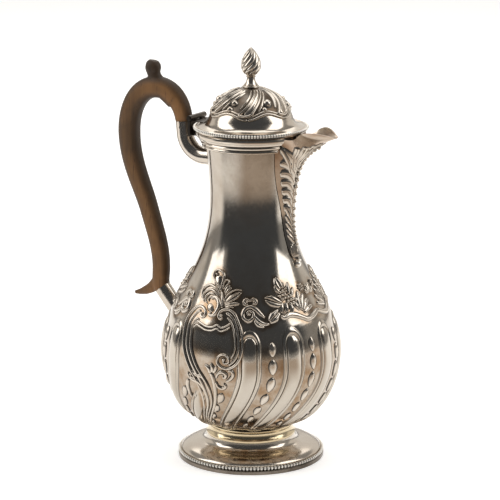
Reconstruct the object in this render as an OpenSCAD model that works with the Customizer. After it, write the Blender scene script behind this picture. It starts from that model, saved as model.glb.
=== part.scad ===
// Silver coffee pot: a baluster body on a spreading foot, with a V-shaped spout,
// a hinged domed lid and a carved wooden handle held in two silver sockets.
// Frame: millimetres, +Z up, origin at the centre of the foot's underside.
// The spout points along +X and the handle along -X.

/* [Body] */
// Thickness of the silver sheet
sheet = 0.8; // [0.6:0.1:1.2]
// Widest radius of the belly
belly_r = 62; // [50:1:76]
// Height of the belly's widest point above the foot
belly_h = 52; // [42:1:64]
// Height of the neck's waist above the belly
shoulder_h = 108; // [90:1:130]
// Radius of the neck at its waist
waist_r = 28.5; // [26:0.5:34]
// Height of the mouth above the waist
neck_h = 45; // [38:1:54]
// Radius of the mouth, outside
mouth_r = 31.5; // [30:0.5:38]
// Radius of each strainer hole behind the spout
strainer_hole_r = 1.6; // [1:0.1:2]

/* [Foot] */
// Height of the foot with its collar
foot_h = 24; // [20:1:30]
// Outer radius of the foot
foot_r = 50.6; // [42:0.2:60]
// Radius of the collar between foot and body
collar_r = 30.8; // [28:0.2:36]
// Radius of the beaded wire round the foot
foot_bead_r = 1.2; // [0.8:0.1:1.6]
// Height of the flat wire that the foot stands on
base_wire_h = 3; // [2:0.5:4]

/* [Spout] */
// How far the lip stands out from the pot's axis
spout_reach = 66; // [58:1:80]
// Height from the spout's toe to the mouth
spout_h = 86; // [75:1:100]
// Half of the spout's width at the mouth
spout_half_w = 14.5; // [12:0.5:17]
// Thickness of the spout's wall
spout_wall = 1.3; // [1:0.1:1.6]
// Thickness of the applied acanthus leaves
leaf_t = 1.3; // [0.8:0.1:1.8]

/* [Lid] */
// How far the lid's edge stands past the mouth
lid_overhang = 7.9; // [6.5:0.1:9.5]
// Height of the dome above the mouth
dome_h = 29.5; // [24:0.5:36]
// Height of the finial above the dome
finial_h = 27; // [22:0.5:33]
// Widest radius of the finial's bud
bud_r = 6.7; // [5.5:0.1:8]
// Depth of the bezel that drops into the mouth
bezel_h = 4.5; // [3.5:0.5:6]
// Gap between the bezel and the inside of the mouth
bezel_gap = 0.9; // [0.7:0.05:1.2]
// Gap between the closed lid and the mouth
seat_gap = 0.3; // [0.2:0.05:0.5]

/* [Hinge] */
// Radius of the hinge's knuckles
knuckle_r = 2; // [1.7:0.1:2.4]
// Radius of the hinge pin
hinge_pin_r = 0.8; // [0.6:0.05:1]
// Whole length of the hinge
hinge_len = 20; // [17:0.5:24]

/* [Handle] */
// Outer radius of both handle sockets
socket_r = 5.9; // [4.9:0.1:7.1]
// How far the handle's centreline stands out from the pot's axis
handle_reach = 99; // [88:1:112]
// Width of the grip at its thickest
grip_w = 15.4; // [14:0.2:17]
// Thickness of the grip across the pot at its thickest
grip_t = 13; // [11:0.2:15]
// Height of the handle's arch above its upper socket
arch_h = 21.5; // [18:0.5:26]
// Radius of the silver pins through the sockets
handle_pin_r = 0.9; // [0.7:0.1:1.2]

/* [Hidden] */

silver = [0.78, 0.76, 0.72];
wood = [0.36, 0.22, 0.12];
round_fn = 72;
fit_gap = 0.05;          // radial clearance of pins and tenons
seam = 0.03;             // solder seam between shaped pieces

// Heights that follow from the driving sizes
belly_z = foot_h + belly_h;
waist_z = belly_z + shoulder_h;
mouth_z = waist_z + neck_h;
lid_z = mouth_z + seat_gap;
lid_r = mouth_r + lid_overhang;

// ---------- shared geometry ----------

function bez(p, t) =
    p[0] * pow(1 - t, 3) + p[1] * 3 * t * pow(1 - t, 2) + p[2] * 3 * t * t * (1 - t) + p[3] * pow(t, 3);

// Points of a curve from t = 0 to 1 in n steps, leaving out the first if skip is 1
function curve(p, n, skip = 0) = [for (i = [skip:n]) bez(p, i / n)];

function unit(v) = v / norm(v);

// A curve moved d to the left of its own direction
function shifted(pts, d) = [
    for (i = [0:len(pts) - 1])
        let (
            a = pts[max(i - 1, 0)],
            b = pts[min(i + 1, len(pts) - 1)],
            u = unit(b - a)
        )
        pts[i] + d * [-u[1], u[0]]
];

function reversed(v) = [for (i = [len(v) - 1:-1:0]) v[i]];

// Turns the pot's (radius, height) outline into a solid of revolution
module turned(pts) rotate_extrude($fn = round_fn) polygon(pts);

// A cylinder along Y, centred on the XZ point c
module cross_pin(c, r, len) translate([c[0], len / 2, c[1]]) rotate([90, 0, 0]) cylinder(r = r, h = len, $fn = 32);

// The faces between rings of n points, m rings in all
function side_faces(m, n) = [
    for (j = [0:m - 2], i = [0:n - 1])
        let (a = j * n + i, b = j * n + (i + 1) % n, c = a + n, d = b + n)
        each [[a, b, d], [a, d, c]]
];

// A closed solid through rings of points, all rings with the same number of points
module skin(rings) {
    n = len(rings[0]);
    m = len(rings);
    start_cap = [for (i = [n - 1:-1:0]) i];
    end_cap = [for (i = [0:n - 1]) (m - 1) * n + i];
    polyhedron(points = [for (ring = rings) each ring], faces = concat([start_cap], side_faces(m, n), [end_cap]), convexity = 8);
}

// The same for rings that are a thin strip: point i of one face lies opposite point n - 1 - i
module sheet_skin(rings) {
    n = len(rings[0]);
    m = len(rings);
    function strip(k, flip) = [
        for (i = [0:n / 2 - 2])
            let (a = k + i, b = k + i + 1, c = k + n - 2 - i, d = k + n - 1 - i)
            each flip ? [[a, d, c], [a, c, b]] : [[a, b, c], [a, c, d]]
    ];
    polyhedron(
        points = [for (ring = rings) each ring],
        faces = concat(strip(0, true), side_faces(m, n), strip((m - 1) * n, false)),
        convexity = 8
    );
}

// ---------- body outline ----------

base_r = 28;
belly_curve = [[base_r, foot_h], [base_r + 18, foot_h + 3], [belly_r, belly_z - 28], [belly_r, belly_z]];
shoulder_curve = [[belly_r, belly_z], [belly_r, belly_z + 38], [waist_r, waist_z - 56], [waist_r, waist_z]];
neck_curve = [[waist_r, waist_z], [waist_r, waist_z + 15], [mouth_r - 0.8, mouth_z - 12], [mouth_r, mouth_z]];
outer = concat(curve(belly_curve, 14), curve(shoulder_curve, 18, 1), curve(neck_curve, 8, 1));
inner = concat([for (p = shifted(outer, sheet)) if (p[1] < mouth_z - 0.5) p], [[mouth_r - sheet, mouth_z]]);

// Outer radius of the body at a height
function body_r(z) = lookup(z, [for (p = outer) [p[1], p[0]]]);

module body_solid() turned(concat([[0, foot_h]], outer, [[0, mouth_z]]));

// ---------- spout surface ----------
// The spout is drawn by stations u from 0 at the toe to 3 at the lip. Each station has a ridge
// point in the XZ plane and an edge point: on the body up to the mouth, and free beyond it.

toe_z = mouth_z - spout_h;
ridge_parts = [
    [[body_r(toe_z) + 2.2, toe_z], [body_r(toe_z) - 1, toe_z + 13], [waist_r + 4.3, mouth_z - 69], [waist_r + 4.3, mouth_z - 57]],
    [[waist_r + 4.3, mouth_z - 57], [waist_r + 4.3, mouth_z - 43], [waist_r + 6.5, mouth_z - 26], [mouth_r + 8.5, mouth_z - 17.5]],
    [[mouth_r + 8.5, mouth_z - 17.5], [mouth_r + 13.5, mouth_z - 9], [spout_reach - 10, mouth_z - 3.5], [spout_reach + 0.5, mouth_z + 0.6]]
];
// (half width, height) of the edge where the spout is soldered to the body
attach_parts = [
    [[2.4, toe_z], [6, toe_z + 4], [5.5, toe_z + 17], [6.2, toe_z + 29]],
    [[6.2, toe_z + 29], [7, toe_z + 44], [spout_half_w, mouth_z - 33], [spout_half_w, mouth_z - 0.4]]
];
mouth_edge_x = sqrt(pow(body_r(mouth_z - 0.4) + seam, 2) - pow(spout_half_w, 2));
free_edge = [
    [mouth_edge_x, spout_half_w, mouth_z - 0.4],
    [lid_r + 10.4, spout_half_w - 12, mouth_z - 7],
    [spout_reach - 28.3, spout_half_w * 2, mouth_z + 12],
    [spout_reach, 2.6, mouth_z + 1.4]
];

function ridge(u) = let (k = min(floor(u), 2)) bez(ridge_parts[k], u - k);

// Edge point (x, half width, z) at station u; cut is taken off the half width
function edge(u, cut = 0) =
    u > 2
        ? let (p = bez(free_edge, u - 2)) [p[0], max(p[1] - cut, 0.4), p[2]]
        : let (
            k = min(floor(u), 1),
            p = bez(attach_parts[k], u - k),
            w = max(p[0] - cut, 0.4),
            r = body_r(p[1]) + seam
        ) [sqrt(r * r - w * w), w, p[1]];

// Depth grows as a power of the share s from ridge to edge: a V below, a U at the lip
function bend(u) = 1.25 + 0.25 * u;

// Point of the spout's outer face at station u and share s from -1 to 1, or of a face inset by t
function spout_point(u, s, t = 0) =
    let (
        e = edge(u, t),
        p = ridge(u),
        away = [e[0], e[2]] - p,
        pin = p + away * min(t * 1.25 / norm(away), 0.85),
        q = pin + ([e[0], e[2]] - pin) * pow(abs(s), bend(u))
    ) [q[0], e[1] * s, q[1]];

stations = [for (i = [0:33]) min(i / 11, 3)];
shares = [for (i = [-6:6]) i / 6];

// ---------- hinge and handle places ----------

hinge_c = [-(lid_r + 4.1), mouth_z + 5.3];

socket_turn = 85;                        // how far the upper socket bends, in degrees
elbow_r = 16;                            // radius of that bend
ferrule_len = 8.6;                       // straight end of the upper socket
upper_dir = [-cos(socket_turn), sin(socket_turn)];
ferrule_start = [hinge_c[0] - knuckle_r - socket_r - 1.5, mouth_z - 7.1];
upper_joint = ferrule_start + ferrule_len * upper_dir;
elbow_c = ferrule_start + elbow_r * [sin(socket_turn), cos(socket_turn)];
socket_z = elbow_c[1] - elbow_r;

lower_dir = [cos(50), -sin(50)];         // the lower socket slopes down to the body at 50 degrees
lower_joint = [-(belly_r + 10.2), belly_z + 33.5];
lower_socket_len = 26;
tenon_len = 7;

// ---------- foot ----------

foot_skirt_r = foot_r - 2 * foot_bead_r + 0.1;
foot_curve = [
    [collar_r - 0.3, foot_h - 8],
    [collar_r + 2.5, foot_h - 14.5],
    [foot_skirt_r - 7, foot_h - 14],
    [foot_skirt_r, base_wire_h + 2 * foot_bead_r + 1.1]
];

module foot() color(silver) {
    top = curve(foot_curve, 14);
    turned(concat(
        [[collar_r - 9, foot_h - 8]], top,
        [[foot_skirt_r, base_wire_h], [foot_skirt_r - sheet, base_wire_h]],
        reversed(shifted(top, -sheet)),
        [[collar_r - 9, foot_h - 8 - sheet]]
    ));
}

module foot_bead_wire() color(silver)
    rotate_extrude($fn = round_fn)
        translate([foot_skirt_r + foot_bead_r + seam, base_wire_h + foot_bead_r + seam]) circle(r = foot_bead_r, $fn = 24);

module foot_base_wire() color(silver)
    turned([[foot_skirt_r - sheet - 0.8, 0], [foot_r, 0], [foot_r, base_wire_h - 0.4], [foot_r - 0.4, base_wire_h], [foot_skirt_r - sheet - 0.8, base_wire_h]]);

module foot_collar() color(silver)
    turned([
        [collar_r - 5.5, foot_h - 8], [collar_r, foot_h - 8], [collar_r, foot_h - 6],
        [collar_r - 1.2, foot_h - 4.8], [collar_r - 1.8, foot_h - 2], [collar_r - 1.4, foot_h], [collar_r - 5.5, foot_h]
    ]);

// ---------- body ----------

// Strainer holes in rows that widen towards the mouth, inside the spout's footprint
strainer_rows = [[mouth_z - 60, 1], [mouth_z - 53, 2], [mouth_z - 46, 3], [mouth_z - 39, 4], [mouth_z - 32, 5]];
strainer_pitch = 3.9;

module body() color(silver) difference() {
    turned(concat([[0, foot_h]], outer, reversed(inner), [[0, foot_h + sheet]]));
    for (row = strainer_rows)
        for (i = [0:row[1] - 1])
            translate([0, (i - (row[1] - 1) / 2) * strainer_pitch, row[0]])
                rotate([0, 90, 0]) cylinder(r = strainer_hole_r, h = belly_r, $fn = 24);
}

module moulding_ring()
    turned([
        [waist_r - 2, mouth_z - 11], [mouth_r + 1, mouth_z - 11], [mouth_r + 1.9, mouth_z - 9.6],
        [mouth_r + 1.5, mouth_z - 8.4], [mouth_r + 2.9, mouth_z - 7], [mouth_r + 2.6, mouth_z - 5.8],
        [mouth_r + 4.6, mouth_z - 4.4], [mouth_r + 6, mouth_z - 3], [mouth_r + 6, mouth_z - 1],
        [mouth_r + 5.2, mouth_z], [waist_r - 2, mouth_z]
    ]);

module mouth_moulding() color(silver) difference() {
    moulding_ring();
    body_solid();
    translate([0, -spout_half_w - 0.1, mouth_z - 20]) cube([mouth_r * 2, 2 * spout_half_w + 0.2, 30]);
}

// ---------- spout ----------

module spout() color(silver)
    sheet_skin([for (u = stations) concat(
        [for (s = shares) spout_point(u, s)],
        [for (s = reversed(shares)) spout_point(u, s, spout_wall)]
    )]);

// A leaf covers one side of the spout, from near the toe to under the lip, and is thinner at its rim.
module spout_leaf(side) {
    leaf_stations = [for (i = [0:18]) 0.15 + i * 0.125];
    leaf_shares = [for (i = [0:5]) 0.14 + i * 0.145];
    lift = [0.4, 0.9, 1, 1, 0.9, 0.4];
    function off(u, i) =
        let (
            s = side * leaf_shares[i],
            p = spout_point(u, s),
            pu = spout_point(u + 0.01, s) - p,
            ps = spout_point(u, s + 0.01) - p
        ) [p, unit(cross(ps, pu))];
    skin([for (u = leaf_stations) let (
        outer_row = [for (i = [0:5]) let (o = off(u, i)) o[0] + o[1] * (0.12 + leaf_t * lift[i])],
        under_row = [for (i = [5:-1:0]) let (o = off(u, i)) o[0] + o[1] * 0.12]
    ) side > 0 ? concat(outer_row, under_row) : concat(reversed(under_row), reversed(outer_row))]);
}

module spout_leaf_left() color(silver) spout_leaf(1);
module spout_leaf_right() color(silver) spout_leaf(-1);

module spout_pellet() color(silver) difference() {
    translate([body_r(toe_z - 2.6) + 1.4, 0, toe_z - 2.6]) sphere(r = 2.3, $fn = 32);
    body_solid();
}

// ---------- handle and its sockets ----------

module tube_section(r) difference() {
    circle(r = r, $fn = 48);
    circle(r = r - sheet, $fn = 48);
}

// Puts a Z-up child at an XZ point, pointing along an XZ direction
module along(p, dir) translate([p[0], 0, p[1]]) rotate([0, atan2(dir[0], dir[1]), 0]) children();

upper_pin_c = upper_joint - 4 * upper_dir;
lower_pin_c = lower_joint + 4 * lower_dir;

// A short sleeve inside two tubes that meet end to end at p
module sleeve(p, dir) along(p - dir, dir) linear_extrude(2) difference() {
    circle(r = socket_r - 0.6, $fn = 48);
    circle(r = socket_r - sheet - 0.4, $fn = 48);
}

module upper_socket() color(silver) difference() {
    union() {
        sleeve(ferrule_start, upper_dir);
        sleeve([elbow_c[0], socket_z], [1, 0]);
        along(ferrule_start, upper_dir) linear_extrude(ferrule_len) tube_section(socket_r);
        // The bend, turned about a Y axis through its centre
        translate([elbow_c[0], 0, elbow_c[1]])
            rotate([90, 0, 0]) rotate([0, 0, -90 - socket_turn])
                rotate_extrude(angle = socket_turn, $fn = round_fn) translate([elbow_r, 0]) tube_section(socket_r);
        along([elbow_c[0], socket_z], [1, 0]) linear_extrude(-elbow_c[0] - waist_r + 2) tube_section(socket_r);
    }
    body_solid();
    cross_pin(upper_pin_c, handle_pin_r, 3 * socket_r);
}

module lower_socket() color(silver) difference() {
    along(lower_joint, lower_dir) linear_extrude(lower_socket_len) tube_section(socket_r);
    body_solid();
    cross_pin(lower_pin_c, handle_pin_r, 3 * socket_r);
}

knee = lower_joint + [-10.8, 55.5];
grip_parts = [
    [upper_joint, upper_joint + [-0.9, 11], [upper_joint[0] - 8.5, upper_joint[1] + arch_h], upper_joint + [-21.3, arch_h]],
    [upper_joint + [-21.3, arch_h], upper_joint + [-35, arch_h], [-handle_reach, upper_joint[1] + 8], [-handle_reach, upper_joint[1] - 11.5]],
    [[-handle_reach, upper_joint[1] - 11.5], [-handle_reach, upper_joint[1] - 33.5], knee + [-5.5, 17], knee],
    [knee, knee + [5, -15.5], lower_joint + [-0.3, 27.5], lower_joint + [-1.3, 11.5]],
    [lower_joint + [-1.3, 11.5], lower_joint + [-1.6, 7.5], lower_joint - 3.6 * lower_dir, lower_joint]
];
// Share of the full width at each joint of the parts
grip_share = [[0, 0.77], [1, 0.97], [2, 1], [3, 0.85], [4, 0.8], [5, 0.76]];

thumb_parts = [[upper_joint + [-9, arch_h - 4], upper_joint + [-20, arch_h], upper_joint + [-29, arch_h + 3], upper_joint + [-25.5, arch_h + 16.5]]];
thumb_share = [[0, 0.75], [0.6, 0.55], [0.85, 0.74], [0.96, 0.6], [1, 0.35]];

spur_parts = [[lower_joint + [-1, 8], lower_joint + [-5, 1], lower_joint + [-12, -4.5], lower_joint + [-23.5, -6.4]]];
spur_share = [[0, 0.75], [0.7, 0.4], [1, 0.16]];

// One ring of a swept bar: c is its centre, dir its direction, k its share of the grip's size
function bar_ring(c, dir, k, n) = [
    for (i = [0:n - 1])
        let (
            a = 360 * i / n,
            x = sign(cos(a)) * pow(abs(cos(a)), 0.85) * grip_w * k / 2,
            y = sign(sin(a)) * pow(abs(sin(a)), 0.85) * grip_t * k / 2
        ) [c[0] - dir[1] * x, y, c[1] + dir[0] * x]
];

function direction(p, t) = unit(bez(p, min(t + 0.01, 1)) - bez(p, max(t - 0.01, 0)));

// A bar that follows curves end to end, in some steps a curve, with n sides
module bar(parts, shares, steps, n) skin([
    for (k = [0:len(parts) - 1], i = [k == 0 ? 0 : 1:steps])
        let (t = i / steps) bar_ring(bez(parts[k], t), direction(parts[k], t), lookup(k + t, shares), n)
]);

module handle() color(wood) difference() {
    union() {
        bar(grip_parts, grip_share, 9, 16);
        bar(thumb_parts, thumb_share, 12, 12);
        bar(spur_parts, spur_share, 8, 12);
        along(upper_joint + 0.5 * upper_dir, -upper_dir) cylinder(r = socket_r - sheet - fit_gap, h = tenon_len + 0.5, $fn = 48);
        along(lower_joint - 0.5 * lower_dir, lower_dir) cylinder(r = socket_r - sheet - fit_gap, h = tenon_len + 0.5, $fn = 48);
    }
    cross_pin(upper_pin_c, handle_pin_r + fit_gap, 3 * socket_r);
    cross_pin(lower_pin_c, handle_pin_r + fit_gap, 3 * socket_r);
}

module upper_handle_pin() color(silver) cross_pin(upper_pin_c, handle_pin_r - 0.01, 2 * socket_r + 0.5);
module lower_handle_pin() color(silver) cross_pin(lower_pin_c, handle_pin_r - 0.01, 2 * socket_r + 0.5);

// ---------- hinge ----------

knuckle_gap = 0.15;
knuckle_pitch = hinge_len / 5;

// Knuckle number k of five, from the right end to the left
module knuckle(k, bore) difference() {
    translate([0, -hinge_len / 2 + (k + 0.5) * knuckle_pitch, 0]) difference() {
        children();
        cross_pin(hinge_c, bore, knuckle_pitch + 1);
    }
}

module hinge_bracket() color(silver) difference() {
    plate_x = hinge_c[0] - 0.9;
    union() {
        translate([plate_x, -hinge_len / 2, mouth_z - 7]) cube([1.8, hinge_len, hinge_c[1] - knuckle_r - 0.3 - mouth_z + 7]);
        translate([plate_x, -6, mouth_z - 7]) cube([lid_r - mouth_r + 7, 12, 5.6]);
        for (k = [0, 2, 4])
            knuckle(k, hinge_pin_r + 0.02) {
                union() {
                    cross_pin(hinge_c, knuckle_r, knuckle_pitch - knuckle_gap);
                    translate([plate_x, -(knuckle_pitch - knuckle_gap) / 2, hinge_c[1] - knuckle_r - 0.4])
                        cube([1.8, knuckle_pitch - knuckle_gap, knuckle_r]);
                }
            }
    }
    body_solid();
    moulding_ring();
}

module hinge_pin() color(silver) {
    cross_pin(hinge_c, hinge_pin_r, hinge_len + 1);
    for (side = [-1, 1])
        translate([0, side * (hinge_len / 2 + 0.4), 0]) cross_pin(hinge_c, hinge_pin_r + 0.5, 0.6);
}

flange_r = lid_r - 1.9;                  // edge of the lid's sheet, inside the beaded wire
flange_z = lid_z + 1.1;                  // underside of the lid's sheet
dome_r = mouth_r - 1.6;

module lid_hinge_leaf() color(silver) difference() {
    leaf_z = flange_z + sheet + seam;
    arm_x = hinge_c[0] + knuckle_r + 0.4;
    union() {
        translate([arm_x, -hinge_len / 2 + 1, leaf_z]) cube([-dome_r - arm_x, hinge_len - 2, 1.5]);
        for (k = [1, 3])
            knuckle(k, hinge_pin_r + 0.07) {
                union() {
                    cross_pin(hinge_c, knuckle_r, knuckle_pitch - knuckle_gap);
                    translate([hinge_c[0], -(knuckle_pitch - knuckle_gap) / 2, hinge_c[1] - knuckle_r])
                        cube([knuckle_r + 1, knuckle_pitch - knuckle_gap, 1.3]);
                }
            }
    }
    translate([0, 0, leaf_z - 1]) cylinder(r = dome_r + seam, h = 6, $fn = round_fn);
    turned([[flange_r - 0.05, lid_z], [lid_r + 0.1, lid_z], [lid_r + 0.1, flange_z + sheet + 0.6], [flange_r - 0.05, flange_z + sheet + 0.6]]);
}

// ---------- lid ----------

dome_top = mouth_z + dome_h;
stud_r = 1.5;
dome_curve = [[dome_r, flange_z + sheet], [dome_r - 0.2, dome_top - 16.5], [dome_r - 8.6, dome_top - 4.6], [5, dome_top]];

module lid_dome() color(silver) {
    dome = curve(dome_curve, 16);
    under = shifted(dome, sheet);
    turned(concat(
        [[flange_r, flange_z], [flange_r, flange_z + sheet]], dome,
        [[stud_r + 0.1, dome_top], [stud_r + 0.1, dome_top - sheet]],
        reversed([for (i = [2:len(under) - 1]) under[i]]),
        [[dome_r - sheet, flange_z + sheet], [dome_r - sheet, flange_z]]
    ));
}

module lid_bezel() color(silver) {
    r = mouth_r - sheet - bezel_gap;
    turned([
        [r - sheet, lid_z - bezel_h], [r, lid_z - bezel_h], [r, lid_z], [flange_r, lid_z],
        [flange_r, flange_z], [r - sheet, flange_z]
    ]);
}

module lid_bead_wire() color(silver) rotate_extrude($fn = round_fn) union() {
    translate([flange_r + 0.95 + seam, flange_z + 0.5]) circle(r = 0.95, $fn = 24);
    translate([flange_r + seam, lid_z]) square([1.6, 1.1]);
}

finial_base = dome_top + seam;
finial_top = dome_top + finial_h;
bud_z = finial_base + 8;

module finial() color(silver) difference() {
    turned(concat(
        [[0, finial_base], [5.6, finial_base], [5.8, finial_base + 0.7], [5.2, finial_base + 1.4]],
        curve([[4.6, finial_base + 1.6], [3.4, finial_base + 3], [2.7, finial_base + 4.5], [2.6, finial_base + 6.4]], 6),
        curve([[2.9, bud_z], [bud_r * 1.3, bud_z + 2.6], [bud_r * 1.12, finial_top - 6.5], [0.5, finial_top]], 14),
        [[0, finial_top]]
    ));
    translate([0, 0, finial_base - 1]) cylinder(r = stud_r, h = 8, $fn = 32);
}

module finial_stud() color(silver) translate([0, 0, dome_top - 6]) cylinder(r = stud_r - 0.02, h = 12.5, $fn = 32);

module finial_nut() color(silver) difference() {
    translate([0, 0, dome_top - sheet - 3]) cylinder(r = 4.5, h = 2.9, $fn = 6);
    translate([0, 0, dome_top - sheet - 4]) cylinder(r = stud_r + 0.02, h = 5, $fn = 32);
}

foot();
foot_bead_wire();
foot_base_wire();
foot_collar();
body();
mouth_moulding();
spout();
spout_leaf_left();
spout_leaf_right();
spout_pellet();
upper_socket();
lower_socket();
handle();
upper_handle_pin();
lower_handle_pin();
hinge_bracket();
hinge_pin();
lid_hinge_leaf();
lid_dome();
lid_bezel();
lid_bead_wire();
finial();
finial_stud();
finial_nut();
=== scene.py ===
import math

import bpy
import numpy as np
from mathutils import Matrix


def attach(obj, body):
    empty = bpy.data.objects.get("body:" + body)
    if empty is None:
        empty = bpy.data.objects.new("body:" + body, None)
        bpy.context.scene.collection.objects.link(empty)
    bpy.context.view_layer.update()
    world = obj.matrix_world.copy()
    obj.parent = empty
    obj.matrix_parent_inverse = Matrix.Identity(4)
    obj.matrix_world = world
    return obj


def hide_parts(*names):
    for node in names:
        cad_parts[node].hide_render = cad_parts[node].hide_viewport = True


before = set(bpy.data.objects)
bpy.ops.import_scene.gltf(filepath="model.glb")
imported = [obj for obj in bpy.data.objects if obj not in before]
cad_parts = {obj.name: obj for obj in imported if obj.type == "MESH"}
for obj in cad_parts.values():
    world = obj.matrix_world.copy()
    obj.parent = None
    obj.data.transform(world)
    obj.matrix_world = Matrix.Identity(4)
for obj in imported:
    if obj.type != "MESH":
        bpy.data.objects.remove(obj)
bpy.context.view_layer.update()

# ---- Studio. A pale floor, two tall softboxes at the sides, one overhead and one behind.
# Cards that only the silver sees give it a dark front and a warm back to reflect.
camera = bpy.data.objects.new("camera", bpy.data.cameras.new("camera"))
bpy.context.scene.collection.objects.link(camera)
camera.location = (0.8344, -1.3886, 0.534)
camera.rotation_euler = (math.radians(76.51), 0, math.radians(31))
camera.data.lens = 175.03
camera.data.shift_x = -0.002
bpy.context.scene.camera = camera
bpy.context.scene.view_settings.view_transform = "Standard"

front = -59                              # compass angle from the pot to the camera


class Net:
    """A material's nodes. n.add makes a node, and what it returns can be used in sums."""

    def __init__(self, name):
        self.material = bpy.data.materials.new(name)
        self.material.use_nodes = True
        self.tree = self.material.node_tree
        self.surface = self.tree.nodes["Principled BSDF"]

    def add(self, kind, settings=None, out=0, **sockets):
        made = self.tree.nodes.new("ShaderNode" + kind)
        for key, value in (settings or {}).items():
            if key == "stops":
                ramp = made.color_ramp.elements
                while len(ramp) < len(value):
                    ramp.new(0.5)
                for stop, (place, colour) in zip(ramp, value):
                    stop.position, stop.color = place, (*colour, 1)
            else:
                setattr(made, key, value)
        for key, value in sockets.items():
            key = int(key[1:]) if key[0] == "i" and key[1:].isdigit() else key.replace("_", " ")
            self.join(value, made.inputs[key])
        return Term(self, made.outputs[out])

    def join(self, value, socket):
        if isinstance(value, Term):
            self.tree.links.new(value.socket, socket)
        elif isinstance(value, tuple) and len(value) == 3 and socket.type == "RGBA":
            socket.default_value = (*value, 1)
        else:
            socket.default_value = value

    def blend(self, share, a, b):
        """Colour a where share is 0 and colour b where it is 1."""
        return self.add("Mix", {"data_type": "RGBA"}, 2, i0=share, i6=a, i7=b)

    def finish(self, **sockets):
        for key, value in sockets.items():
            self.join(value, self.surface.inputs[key.replace("_", " ")])
        return self.material


class Term:
    """One output of a node, with sums written as in Python."""

    def __init__(self, net, socket):
        self.net, self.socket = net, socket

    def sum(self, how, a, b):
        return self.net.add("Math", {"operation": how}, i0=a, i1=b)

    def __add__(self, other):
        return self.sum("ADD", self, other)

    def __radd__(self, other):
        return self.sum("ADD", other, self)

    def __sub__(self, other):
        return self.sum("SUBTRACT", self, other)

    def __rsub__(self, other):
        return self.sum("SUBTRACT", other, self)

    def __mul__(self, other):
        return self.sum("MULTIPLY", self, other)

    def __rmul__(self, other):
        return self.sum("MULTIPLY", other, self)

    def __pow__(self, other):
        return self.sum("POWER", self, other)

    def span(self, low, high):
        """0 where this is low, 1 where it is high, held between."""
        return self.net.add("MapRange", {}, i0=self, i1=low, i2=high, i3=0.0, i4=1.0)


paper = Net("white_paper")
cloud = paper.add("TexNoise", Vector=paper.add("TexCoord", out=3), Scale=6.0, Detail=3.0)
floor_material = paper.finish(
    Base_Color=paper.blend(cloud, (0.90, 0.895, 0.885), (0.93, 0.93, 0.925)), Roughness=0.9,
    Emission_Color=(1.0, 0.985, 0.965), Emission_Strength=0.42,
)
bpy.ops.object.select_all(action="DESELECT")
bpy.ops.mesh.primitive_circle_add(vertices=128, radius=3.2, fill_type="NGON")
floor = bpy.context.object
floor.name = "floor"
floor.data.materials.append(floor_material)


def paint(piece, name, values):
    """Gives each vertex of a piece a value that its material reads by name."""
    data = piece.data.attributes
    painted = data[name] if name in data else data.new(name, "FLOAT", "POINT")
    painted.data.foreach_set("value", np.broadcast_to(values, len(piece.data.vertices)).astype(float))


def screen(name, colour, strength, place, fade):
    """A sheet that only the silver's reflections see. place holds its grid of points in metres
    and fade how solid it is at each, so its edges are soft."""
    net = Net(name)
    glow = net.add("Emission", Color=(*colour, 1.0), Strength=strength)
    share = net.add("Attribute", {"attribute_name": "fade"}, 2)
    mixed = net.add("MixShader", i0=share, i1=net.add("BsdfTransparent"), i2=glow)
    net.join(mixed, net.tree.nodes["Material Output"].inputs["Surface"])
    rows, columns = fade.shape
    bpy.ops.object.select_all(action="DESELECT")
    bpy.ops.mesh.primitive_grid_add(x_subdivisions=columns - 1, y_subdivisions=rows - 1, size=1)
    made = bpy.context.object
    made.name = name
    made.data.vertices.foreach_set("co", place.reshape(-1))
    paint(made, "fade", fade.reshape(-1))
    made.data.materials.append(net.material)
    made.visible_camera = made.visible_diffuse = made.visible_shadow = False


def soft(u, edge):
    """0 at both ends of 0 to 1, 1 within, over a soft edge."""
    t = np.clip(np.minimum(u, 1 - u) / edge, 0, 1)
    return t * t * (3 - 2 * t)


def card(name, colour, strength, compass, low, high, distance, side=0.06, rim=0.06):
    """A curved card round the pot. low and high are its edges as angles above its middle."""
    u, v = np.meshgrid(np.linspace(0, 1, 61), np.linspace(0, 1, 31))
    a = np.radians(compass[0] + (compass[1] - compass[0]) * u)
    b = np.radians(low + (high - low) * v)
    place = np.stack([np.cos(a) * np.cos(b), np.sin(a) * np.cos(b), np.sin(b)], 2) * distance
    pot_middle, off_floor = 0.13, 0.003
    place[..., 2] = np.maximum(place[..., 2] + pot_middle, off_floor)
    screen(name, colour, strength, place, soft(u, side) * soft(np.maximum(v, rim if low < 0 else 0), rim))


def reflection_sheet(name, colour, strength, compass, near, far, side=0.1, rim=0.1):
    """A flat glowing sheet on the floor round the pot, from near to far, that only the silver's
    reflections see: it paints a reflection into the silver.
    """
    u, v = np.meshgrid(np.linspace(0, 1, 61), np.linspace(0, 1, 21))
    a = np.radians(compass[0] + (compass[1] - compass[0]) * u)
    r = near + (far - near) * v
    place = np.stack([np.cos(a) * r, np.sin(a) * r, 0 * a + 0.0015], 2)
    screen(name, colour, strength, place, soft(u, side) * soft(np.minimum(v, 1 - rim), rim))


def softbox(name, compass, rise, distance, size, power, colour=(1, 1, 1)):
    """A rectangular soft light that faces the pot's middle."""
    light = bpy.data.lights.new(name, "AREA")
    light.shape, light.size, light.size_y = "RECTANGLE", size[0], size[1]
    light.energy, light.color = power, colour
    made = bpy.data.objects.new(name, light)
    bpy.context.scene.collection.objects.link(made)
    a, b = math.radians(compass), math.radians(rise)
    away = np.array([math.cos(a) * math.cos(b), math.sin(a) * math.cos(b), math.sin(b)])
    made.location = away * distance + [0, 0, 0.15]
    made.rotation_euler = (math.pi / 2 - b, 0, a + math.pi / 2)
    return made


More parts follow.
